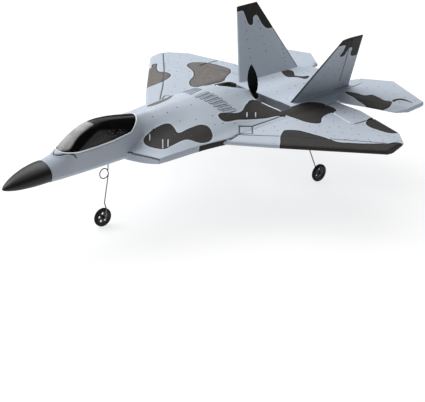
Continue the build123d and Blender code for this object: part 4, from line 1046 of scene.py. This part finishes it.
# painted shade: the forward-facing rear wall of the propeller slot is darkened through the line attribute
def shade_wall(ob):
    co, no = coords(ob), normals(ob)
    x, s, w = station(co)
    old = np.zeros(len(x), np.float32)
    at = ob.data.attributes.get("line")
    if at:
        at.data.foreach_get("value", old)
    m = (s > 253.6) & (s < 255.4) & (no[:, 1] < -0.5)
    put(ob, "line", np.where(m, 0.66, old))
groove(lower, both([[(18.2, 152.0), (18.2, 240.0)], [(30.0, 120.0), (30.0, 238.0)]]), depth=0.3, mark=0.3, gate=lambda x, s, w, no: no[:, 2] < -0.3)
groove(under, both([[(12.0, 256.0), (12.0, 340.0)]]), depth=0.3, mark=0.3, gate=lambda x, s, w, no: no[:, 2] < -0.3)
for ob in (upper, lower, under):
    camo(ob, "body")
    if not ob.data.attributes.get("line"):
        put(ob, "line", np.zeros(len(ob.data.vertices)))

for ob in (upper, under):
    shade_wall(ob)
fit(upper, ["fuselage_upper"], "airframe", FOAM)
fit(lower, ["fuselage_lower"], "airframe", FOAM)
fit(under, ["tail_underside"], "airframe", FOAM)


def from_node(node, name, vox=None, it=2, root=0.0):
    src = bpy.data.objects[node]
    c = bpy.data.objects.new(name, src.data.copy())
    S.collection.objects.link(c)
    if root:
        # the root runs on into the body, so that the joint shows no gap
        co = coords(c)
        if root == "tail":
            x, s, w = station(co)
            m = (path_dist(np.abs(x), s, [(44.1, 300.4), (40.1, 312.2), (37.2, 330.0), (36.2, 346.2)]) < 0.35)
            co[m, 0] -= np.sign(co[m, 0]) * 2.2 * MM
        else:
            inner = np.abs(co[:, 0]).min()
            m = np.abs(co[:, 0]) < inner + 0.3 * MM
            co[m, 0] -= np.sign(co[m, 0]) * root * MM
        set_coords(c, co)
    return remesh(c, vox or VOX, it)


UNDER_LINES = both([[(60.0, 186.0), (60.0, 268.0)], [(97.5, 236.0), (97.5, 280.0)]])
for tag in ("left", "right"):
    wing = from_node("wing_" + tag, "foam_wing_" + tag, root=2.2)
    groove(wing, WING_LINES, gate=top_gate, depth=0.5, width=0.66)
    groove(wing, UNDER_LINES, depth=0.3, mark=0.3, gate=lambda x, s, w, no: no[:, 2] < -0.3)
    camo(wing, "wing")
    fit(wing, ["wing_" + tag], "airframe", FOAM)
    el = from_node("elevon_" + tag, "foam_elevon_" + tag)
    groove(el, WING_LINES, gate=top_gate, depth=0.5, width=0.66)
    camo(el, "wing")
    fit(el, ["elevon_" + tag], "elevon_%s_unit" % tag, FOAM)
    fin = from_node("fin_" + tag, "foam_fin_" + tag, vox=0.45)
    sg = 1 if tag == "left" else -1
    groove(fin, FIN_LINES, axes="sw", depth=0.38, width=0.45, gate=lambda x, s, w, no: no[:, 0] * sg > 0.3)
    groove(fin, FIN_EDGES if sg > 0 else FIN_EDGES[1:], axes="sw", depth=0.0, width=1.25, mark=1.0)
    camo(fin, "fin")
    fit(fin, ["fin_" + tag], "airframe", FOAM)
    tail = from_node("tailplane_" + tag, "foam_tailplane_" + tag, root="tail")
    groove(tail, TAIL_LINES, depth=0.22, mark=0.35, gate=top_gate)
    camo(tail, "tail")
    fit(tail, ["tailplane_" + tag], "airframe", FOAM)

# ------------------------------------------------------------------- canopy
co, no = coords(canopy), normals(canopy)
x_, s_, w_ = station(co)
ax_ = np.abs(x_)
SHIELD = closed_smooth([(-1.0, 48.5), (4.4, 50.8), (6.9, 54.2), (7.2, 57.0), (6.5, 60.5), (5.8, 64.5), (5.6, 70.0), (5.4, 75.0),
                        (4.5, 79.6), (2.2, 79.0), (-1.0, 77.2)], 4)
PANE = closed_smooth([(61.0, 9.0), (66.0, 12.2), (72.0, 15.6), (78.0, 18.4), (82.0, 19.2), (88.0, 18.4), (96.0, 16.6),
                      (104.0, 14.2), (108.0, 12.0), (100.0, 10.3), (92.0, 9.7), (77.0, 9.0)], 4)
shield = sdf(ax_, s_, SHIELD)
pane = sdf(s_, w_, PANE)
put(canopy, "shield", np.clip(np.where(no[:, 2] > -0.2, shield, 9.0), -9, 9))
put(canopy, "sidepane", np.clip(np.where(ax_ > 2.5, pane, 9.0), -9, 9))
put(canopy, "aft", np.clip((s_ - 82.0) / 14.0, 0, 1))
put(canopy, "fleck", np.clip((s_ - 80.0) / 6.0, 0, 1) * np.clip((107.0 - s_) / 5.0, 0, 1) * np.clip((w_ - 11.2) / 1.5, 0, 1) * np.clip((17.8 - w_) / 1.5, 0, 1))
fit(canopy, ["canopy_hatch"], "canopy_unit", CANOPY, 40)

# nose cone: smooth ogive with a rounded joint flange
CONE_TABLE = [(0.0, 0.012, -7.4), (0.7, 0.11, -7.3), (2.5, 0.25, -7.0), (6.0, 0.43, -6.4), (11.0, 0.62, -5.7),
              (17.0, 0.78, -4.9), (24.0, 0.91, -4.2), (31.0, 0.98, -3.7), (36.0, 1.0, -3.55)]
sq = np.concatenate([np.linspace(0, 1, 9) ** 2 * 4.0, np.linspace(4.4, 33.6, 60), [34.0, 34.3, 34.6, 34.9, 35.2, 35.5, 35.8, 35.95]])
vals = monotone([c[0] for c in CONE_TABLE], [[c[1], c[2]] for c in CONE_TABLE], sq)
nv = 96
verts, faces = [], []
for k, s in enumerate(sq):
    f, c = vals[k]
    if s > 34.0:
        f -= 0.022 * math.exp(-((s - 34.9) / 0.32) ** 2)
    if s > 35.7:
        f -= 0.012
    for j in range(nv):
        a = 2 * math.pi * j / nv
        verts.append(pm(11.4 * f * math.cos(a), s, c + 8.2 * f * math.sin(a)))
for k in range(len(sq) - 1):
    for j in range(nv):
        a, b = k * nv + j, k * nv + (j + 1) % nv
        faces.append((a, b, b + nv, a + nv))
for base in (0, (len(sq) - 1) * nv):
    verts.append(sum((Vector(verts[base + j]) for j in range(nv)), Vector()) / nv)
    for j in range(nv):
        faces.append((base + j, base + (j + 1) % nv, len(verts) - 1))
cone = obj_from("cone_shell", verts, faces)
recalc(cone)
fit(cone, ["nose_cone"], "airframe", CONE, 50)

# -------------------------------------------------------- swept round bars
def fillet_path(pts, radius, n=8):
    P = [Vector(p) for p in pts]
    out = [P[0]]
    for a, b, c in zip(P, P[1:], P[2:]):
        u, v = (a - b), (c - b)
        r = min(radius, 0.45 * u.length, 0.45 * v.length)
        p0, p1 = b + u.normalized() * r, b + v.normalized() * r
        for i in range(n + 1):
            t = i / n
            out.append(p0 * (1 - t) ** 2 + b * 2 * t * (1 - t) + p1 * t * t)
    out.append(P[-1])
    clean = [out[0]]
    for p in out[1:]:
        if (p - clean[-1]).length > 0.02:
            clean.append(p)
    return clean


# nose leg: real helix of one turn between the two straight runs
coil = []
a0 = 0.0
turns = 1.0
for i in range(61):
    a = 2 * math.pi * turns * i / 60
    coil.append((-0.5 + 1.0 * i / 60, 89.7 + 4.0 * math.cos(a), -21.9 + 4.0 * math.sin(a)))
nose_path = fillet_path([(0, 94.4, -8.7), (0, 94.4, -12.5), (-0.5, 93.7, -21.4)], 1.0)[:-1] + coil + \
    fillet_path([(0.5, 93.7, -22.4), (0.5, 88.4, -46.8), (3.9, 87.6, -50.2), (3.9, 86.4, -58.8), (-2.9, 86.4, -58.8)], 1.3)[1:]
nose_leg = bar("nose_leg", nose_path, 0.45, 18)
fit(nose_leg, ["nose_gear_wire"], "airframe", STEEL, 60)
for sd, tag in ((1, "left"), (-1, "right")):
    leg = bar("main_leg_" + tag, [(sd * p[0], p[1], p[2]) for p in fillet_path(
        [(28, 272, -6.0), (28, 272, -11.2), (51.2, 274.3, -56.6), (51.8, 274.3, -58.8), (57.4, 274.3, -58.8)], 1.4)], 0.45, 18)
    fit(leg, ["main_gear_wire_" + tag], "airframe", STEEL, 60)


# ------------------------------------------------------------------- wheels
def lathe_x(name, prof, s, wl, x0=0.0, n=96):
    """Closed profile (x, r) turned about an X axis through (s, wl)."""
    verts, faces = [], []
    m = len(prof)
    for j in range(n):
        a = 2 * math.pi * j / n
        for px, r in prof:
            verts.append(pm(x0 + px, s + r * math.cos(a), wl + r * math.sin(a)))
    for j in range(n):
        for i in range(m):
            a, b = j * m + i, j * m + (i + 1) % m
            c, d = ((j + 1) % n) * m + (i + 1) % m, ((j + 1) % n) * m + i
            faces.append((a, b, c, d))
    ob = obj_from(name, verts, faces)
    recalc(ob)
    return ob


def lathe_y(name, prof, x, wl, n=96):
    verts, faces = [], []
    m = len(prof)
    for j in range(n):
        a = 2 * math.pi * j / n
        for ps, r in prof:
            verts.append(pm(x + r * math.cos(a), ps, wl + r * math.sin(a)))
    for j in range(n):
        for i in range(m):
            a, b = j * m + i, j * m + (i + 1) % m
            c, d = ((j + 1) % n) * m + (i + 1) % m, ((j + 1) % n) * m + i
            faces.append((a, b, c, d))
    ob = obj_from(name, verts, faces)
    recalc(ob)
    return ob


TYRE = [(-1.5, 5.72), (-1.5, 6.5), (-1.42, 7.0), (-1.2, 7.4), (-0.85, 7.62), (-0.62, 7.68), (-0.55, 7.5), (-0.40, 7.5), (-0.33, 7.7),
        (0.33, 7.7), (0.40, 7.5), (0.55, 7.5), (0.62, 7.68), (0.85, 7.62), (1.2, 7.4), (1.42, 7.0), (1.5, 6.5), (1.5, 5.72)]
HUBP = [(-1.5, 5.68), (-1.5, 5.2), (-1.35, 5.02), (-0.95, 4.9), (-0.8, 4.7), (-0.8, 2.1), (-0.95, 1.7), (-1.4, 1.55), (-1.5, 1.4), (-1.5, 0.56),
        (1.5, 0.56), (1.5, 1.4), (1.4, 1.55), (0.95, 1.7), (0.8, 2.1), (0.8, 4.7), (0.95, 4.9), (1.35, 5.02), (1.5, 5.2), (1.5, 5.68)]
for tag, x0, s0, holes, hr, hat, body in (("nose", 0.0, 86.4, 5, 1.28, 3.35, "nose_wheel_unit"),
                                          ("left", 54.5, 274.3, 3, 1.3, 3.4, "main_wheel_left_unit"),
                                          ("right", -54.5, 274.3, 3, 1.3, 3.4, "main_wheel_right_unit")):
    t = lathe_x("tyre_" + tag, TYRE, s0, -58.8, x0)
    h = lathe_x("hub_" + tag, HUBP, s0, -58.8, x0)
    for k in range(holes):
        a = math.pi / 2 + 2 * math.pi * k / holes
        boolean(h, prism("hole", disc_pts(s0 + hat * math.cos(a), -58.8 + hat * math.sin(a), hr, 32), x0 - 3, x0 + 3, "X"), "DIFFERENCE")
    nodes = ("nose_tyre", "nose_wheel") if tag == "nose" else ("main_tyre_" + tag, "main_wheel_" + tag)
    fit(t, [nodes[0]], body, RUBBER, 50)
    fit(h, [nodes[1]], body, HUB, 35)

# ---------------------------------------------------------------- propeller
BLADE = [(1.0, 2.8, 2.2, 50), (3.0, 4.3, 1.9, 44), (5.0, 6.2, 1.5, 40), (10.0, 8.8, 1.2, 32), (15.0, 9.3, 1.0, 25),
         (20.0, 7.7, 0.8, 21), (24.0, 4.8, 0.7, 17), (26.3, 2.2, 0.55, 16), (27.45, 0.7, 0.45, 16)]


def blade(turn):
    rs = np.concatenate([np.linspace(1.0, 24.0, 34), np.linspace(24.6, 27.45, 12)])
    tab = monotone([b[0] for b in BLADE], [[b[1], b[2], b[3]] for b in BLADE], rs)
    n = 28
    verts, faces = [], []
    for r, (ch, th, pi_) in zip(rs, tab):
        a = math.radians(pi_)
        for j in range(n):
            q = 2 * math.pi * j / n
            u = 0.5 * ch * math.cos(q)
            prof = math.sin(q)
            v = th * 0.5 * (prof * (1.25 if prof > 0 else 0.25)) * (1 - 0.15 * math.cos(q))
            x, s = u * math.cos(a) - v * math.sin(a), u * math.sin(a) + v * math.cos(a)
            cx, cz = x * math.cos(turn) + r * math.sin(turn), -x * math.sin(turn) + r * math.cos(turn)
            verts.append(pm(cx, 248.0 + s, 2.0 + cz))
    R = len(rs)
    for i in range(R - 1):
        for j in range(n):
            a, b = i * n + j, i * n + (j + 1) % n
            faces.append((a, b, b + n, a + n))
    faces.append(tuple(range(n))[::-1])
    faces.append(tuple(range((R - 1) * n, R * n)))
    ob = obj_from("blade", verts, faces)
    recalc(ob)
    return ob


hub = lathe_y("propeller_moulding", [(245.1, 0.76), (245.1, 2.3), (245.3, 2.75), (245.7, 3.0), (250.2, 3.0), (250.6, 2.8), (250.9, 2.3), (250.9, 0.76)], 0, 2.0)
TURN = math.radians(-8.0)
for turn in (TURN, TURN + math.pi):
    b_ = blade(turn)
    boolean(hub, b_, "UNION")
fit(hub, ["propeller"], "propeller_unit", PROP, 40)

# ---------------------------------------------- surface-following trim
D = bpy.data.objects
SKIN_TREE = tree_of(BODY, D["wing_left"], D["wing_right"], D["tailplane_left"], D["tailplane_right"])
FIN_TREE = tree_of(D["fin_left"], D["fin_right"])


def drop(x, s, tree=SKIN_TREE):
    h = tree.ray_cast(pm(x, s, 60.0), Vector((0, 0, -1)))
    if h[0] is None:
        return None
    p = h[0]
    return (p.x / MM, p.y / MM + MID, p.z / MM - WL), h[1] if h[1].z > 0 else -h[1]


def side_hit(s, w, side, tree=BODY_TREE):
    h = tree.ray_cast(pm(side * 90.0, s, w), Vector((-side, 0, 0)))
    if h[0] is None:
        return None
    p = h[0]
    n = h[1] if h[1].x * side > 0 else -h[1]
    return (p.x / MM, p.y / MM + MID, p.z / MM - WL), n


def join(name, obs):
    verts, faces = [], []
    for o in obs:
        b = len(verts)
        verts += [tuple(v.co) for v in o.data.vertices]
        faces += [[b + i for i in p.vertices] for p in o.data.polygons]
        me = o.data
        D.remove(o)
        bpy.data.meshes.remove(me)
    return obj_from(name, verts, faces)


# lip around the canopy seat, in the near-white edge foam as a painted highlight
def on_line(s, line):
    for (a, wa), (b, wb) in zip(line, line[1:]):
        if a <= s <= b:
            return wa + (wb - wa) * (s - a) / (b - a)
    return line[0][1]


LIP = [(50.2, 8.95), (60.0, 8.35), (77.0, 8.5), (92.0, 9.2), (108.9, 11.0), (119.6, 19.5)]
port = []
for s in list(np.linspace(50.4, 107.5, 46)) + list(np.linspace(108.2, 119.3, 14)):
    h = side_hit(s, on_line(s, LIP), 1)
    if h:
        p, n = h
        port.append((p[0] + n.x * 0.05, p[1] + n.y * 0.05 + (0.15 if s > 108.9 else 0), p[2] + n.z * 0.05 - (0.12 if s < 108.9 else 0)))
top = (0.0, 120.3, 19.75)
front = (0.0, 49.4, 8.7)
loop = [front] + port + [top] + [(-p[0], p[1], p[2]) for p in reversed(port)]
seam = [(p[0], p[1], p[2] - 1.15) for p in port if p[1] < 108.0]
groove3(D["foam_upper"], [seam, mirror_path(seam)], 0.3, 0.5, mark=0.5, off=9.0)
lip = bar("canopy_seat_lip", loop, 0.46, 10, closed=True)
put(lip, "line", np.zeros(len(lip.data.vertices)))
# painted highlight: near-white foam for edges that catch the light
FOAM_HIGHLIGHT = foam("foam_highlight", has_camo=False, shade=1.25, tint="#E8EBEE")
fit(lip, [], "airframe", FOAM_HIGHLIGHT, 60)

# louvre rows across the spine; the raised rims are in the lighter foam as a painted highlight
slots = []
for x, c, sd in LOUVRES:
    pts = []
    for px, ps in stadium(x, c, 6.0, 0.72, 0.06 * sd, n=8):
        d = drop(px, ps, BODY_TREE)
        if d:
            pts.append((d[0][0], d[0][1], d[0][2] + 0.05))
    fine = []
    for a, b in zip(pts, pts[1:] + pts[:1]):
        k = max(1, int(math.dist(a, b) / 1.0))
        for i in range(k):
            t = i / k
            x1, s1 = a[0] + (b[0] - a[0]) * t, a[1] + (b[1] - a[1]) * t
            d = drop(x1, s1, BODY_TREE)
            fine.append((x1, s1, d[0][2] + 0.05))
    slots.append(bar("slot", fine, 0.2, 8, closed=True))
louvres = join("spine_louvres", slots)
put(louvres, "line", np.zeros(len(louvres.data.vertices)))
fit(louvres, [], "airframe", FOAM_PLAIN, 60)

# short moulded ribs on the intake tops and behind the hump, in the lighter foam as a painted highlight
ribs = []
for a, b in (((26.4, 127.7), (34.9, 120.8)), ((29.2, 130.7), (35.7, 125.3)), ((15.5, 123.6), (19.5, 120.4)),
             ((33.9, 208.7), (37.6, 205.3)), ((35.1, 217.1), (39.3, 213.3))):
    for sd in (1, -1):
        pts = []
        for i in range(13):
            t = i / 12
            d = drop(sd * (a[0] + (b[0] - a[0]) * t), a[1] + (b[1] - a[1]) * t, BODY_TREE)
            if d:
                pts.append((d[0][0], d[0][1], d[0][2] + 0.12))
        ribs.append(bar("rib", pts, 0.5, 10))
ribs = join("deck_ribs", ribs)
put(ribs, "line", np.zeros(len(ribs.data.vertices)))
fit(ribs, [], "airframe", FOAM_PLAIN, 60)


# fastener dimples: small domes with a dark wash
def dome(p, n, r=0.42, h=0.16, k=10):
    c = pm(*p)
    q = Vector((0, 0, 1)).rotation_difference(n)
    verts, faces = [], []
    for rr, hh in ((1.0, -0.6), (0.92, 0.35), (0.55, 0.85)):
        for j in range(k):
            a = 2 * math.pi * j / k
            verts.append(c + q @ Vector((r * rr * math.cos(a), r * rr * math.sin(a), h * hh)) * MM)
    verts.append(c + q @ Vector((0, 0, h)) * MM)
    verts.append(c + q @ Vector((0, 0, -0.6 * h)) * MM)
    for i in range(2):
        for j in range(k):
            a, b = i * k + j, i * k + (j + 1) % k
            faces.append((a, b, b + k, a + k))
    for j in range(k):
        faces.append((2 * k + j, 2 * k + (j + 1) % k, 3 * k))
        faces.append(((j + 1) % k, j, 3 * k + 1))
    return verts, faces


def dome_set(name, spots, body, r=0.42):
    verts, faces = [], []
    for p, n in spots:
        v, f = dome(p, n, r)
        b = len(verts)
        verts += v
        faces += [[b + i for i in q] for q in f]
    ob = obj_from(name, verts, faces)
    fit(ob, [], body, RIVET, 40)
    return ob


RIVET = plastic("rivet_wash", "#4A515A", rough=0.6, spec=0.15, wear="#353A41", grain=0.6)
rng = np.random.default_rng(22)
spots = []
ROWS = [[(58.0, 206.0), (58.0, 262.0)], [(64.0, 214.0), (94.0, 240.5)], [(100.5, 238.0), (100.5, 272.0)], [(113.0, 244.0), (113.0, 271.0)],
        [(124.0, 254.0), (139.0, 268.0)], [(56.0, 266.0), (92.0, 257.2)], [(20.0, 152.0), (27.0, 176.0)], [(34.0, 172.0), (40.0, 190.0)],
        [(6.5, 135.0), (8.5, 172.0)], [(10.0, 207.0), (17.0, 228.0)], [(24.0, 264.0), (24.0, 292.0)], [(52.0, 322.0), (90.0, 334.0)],
        [(46.0, 338.0), (58.0, 360.0)], [(74.0, 238.0), (88.0, 250.0)], [(62.0, 344.0), (96.0, 346.0)], [(20.0, 132.0), (36.0, 148.0)],
        [(124.0, 268.0), (134.0, 276.0)], [(7.0, 270.0), (14.0, 330.0)], [(86.0, 222.0), (126.0, 254.0)]]
for a, b in ROWS:
    L = math.hypot(b[0] - a[0], b[1] - a[1])
    n = max(2, int(L / 9.5))
    for sd in (1, -1):
        for i in range(n + 1):
            t = i / n
            x, s = a[0] + (b[0] - a[0]) * t + rng.uniform(-1.6, 1.6), a[1] + (b[1] - a[1]) * t + rng.uniform(-1.8, 1.8)
            if x > 51.0 and s > 276.8 - (x - 69.6) * 5.5 / 23.9 - 4.5 and x < 96.5 and s < 300:
                continue
            d = drop(sd * x, s)
            if d and d[1].z > 0.4:
                spots.append(d)
for w0, s0, w1, s1 in ((12.0, 278.0, 46.0, 288.0), (20.0, 300.0, 50.0, 304.0), (8.0, 318.0, 24.0, 322.0)):
    for i in range(6):
        t = i / 5
        for sd in (1, -1):
            for face in (1, -1):
                w, s = w0 + (w1 - w0) * t, s0 + (s1 - s0) * t
                x = 32.2 + (w - 2.2) * 31.6 / 56.2
                h = FIN_TREE.ray_cast(pm(sd * x + face * 12.0, s, w), Vector((-face, 0, 0)), 0.02)
                if h[0] is not None:
                    p = h[0]
                    nn = h[1] if h[1].x * face > 0 else -h[1]
                    spots.append(((p.x / MM, p.y / MM + MID, p.z / MM - WL), nn))
dome_set("fastener_marks", spots, "airframe", 0.56)
for sd, tag in ((1, "left"), (-1, "right")):
    tree = tree_of(D["elevon_" + tag])
    es = []
    for x, s in ((57.0, 284.5), (64.0, 289.0), (71.5, 283.0), (78.0, 287.0), (84.5, 280.0), (90.0, 284.5), (60.0, 293.5), (74.0, 293.0), (87.5, 290.0)):
        d = drop(sd * (x + rng.uniform(-0.8, 0.8)), s + rng.uniform(-0.8, 0.8), tree)
        if d:
            es.append(d)
    dome_set("fastener_marks_elevon_" + tag, es, "elevon_%s_unit" % tag, 0.56)

# painted highlights: light bars along the rear edge of the hump over the propeller slot, and along the hinge edge of
# the left wing
edges = []
for sd in (1, -1):
    pts = []
    for i in range(30):
        x = 17.5 + (40.0 - 17.5) * i / 29
        d = drop(sd * x, 240.5, BODY_TREE)
        if d:
            pts.append((sd * x, 240.75, d[0][2] + 0.05))
    edges.append(bar("edge", pts, 0.42, 10))
    pts = []
    for x in (np.linspace(68.5, 92.0, 20) if sd > 0 else ()):
        for k in range(60):
            s = 279.5 - (x - 69.6) * 5.5 / 23.9 - 0.15 * k
            d = drop(sd * x, s)
            if d and d[1].z > 0.7:
                pts.append((sd * x, s - 0.25, d[0][2] - 0.05))
                break
    if len(pts) > 3:
        edges.append(bar("edge", pts, 0.3, 10))
edges = join("foam_cut_edges", edges)
put(edges, "line", np.zeros(len(edges.data.vertices)))
fit(edges, [], "airframe", FOAM_HIGHLIGHT, 60)

# moulded fillet along each fin root, outer side
roots = []
for sd in (1, -1):
    pts = []
    for i in range(49):
        s = 263.0 + 46.0 * i / 48
        w = 2.0
        for _ in range(4):
            x = 32.2 + (w - 2.2) * 31.6 / 56.2 + 2.35 * min(1.0, (s - 261.0) / 7.0) * (1.0 if s < 318 else max(0.3, (330.0 - s) / 12.0))
            d = drop(sd * (x + 0.4), s)
            if d is None:
                break
            w = d[0][2]
        if d:
            pts.append((sd * (x + 0.1), s, w + 0.15))
    roots.append(bar("root", pts, 0.95, 10))
roots = join("fin_root_fillets", roots)
put(roots, "line", np.zeros(len(roots.data.vertices)))
fit(roots, [], "airframe", FOAM_PLAIN, 60)

# ------------------------------------------------- carried-over CAD nodes
LOOK = {
    "battery": WRAP, "battery_strap": STRAP, "battery_leads": LEAD, "battery_plug": PLUG, "battery_socket": PLUG, "board_pad": PAD,
    "flight_board": PCB, "motor_leads": LEAD, "servo_left": SERVO, "servo_right": SERVO, "servo_arm_left": NYLON,
    "servo_arm_right": NYLON, "pushrod_left": STEEL, "pushrod_right": STEEL, "control_horn_left": NYLON, "control_horn_right": NYLON,
    "elevon_hinge_rod_left": STEEL, "elevon_hinge_rod_right": STEEL, "wing_spar": CARBON, "motor_mount": MOUNT, "motor": MOTOR_STEEL,
    "motor_shaft": STEEL, "motor_mount_screws": ZINC, "body_magnets": MAGNET, "hatch_magnets": MAGNET, "nose_gear_block": MOUNT,
    "main_gear_block_left": MOUNT, "main_gear_block_right": MOUNT, "nose_wheel_collars": MOUNT, "main_wheel_collars_left": MOUNT,
    "main_wheel_collars_right": MOUNT,
}
for node, mat in LOOK.items():
    skin(D[node], mat)

me = BODY.data
D.remove(BODY)
bpy.data.meshes.remove(me)
S.view_settings.view_transform = "Standard"
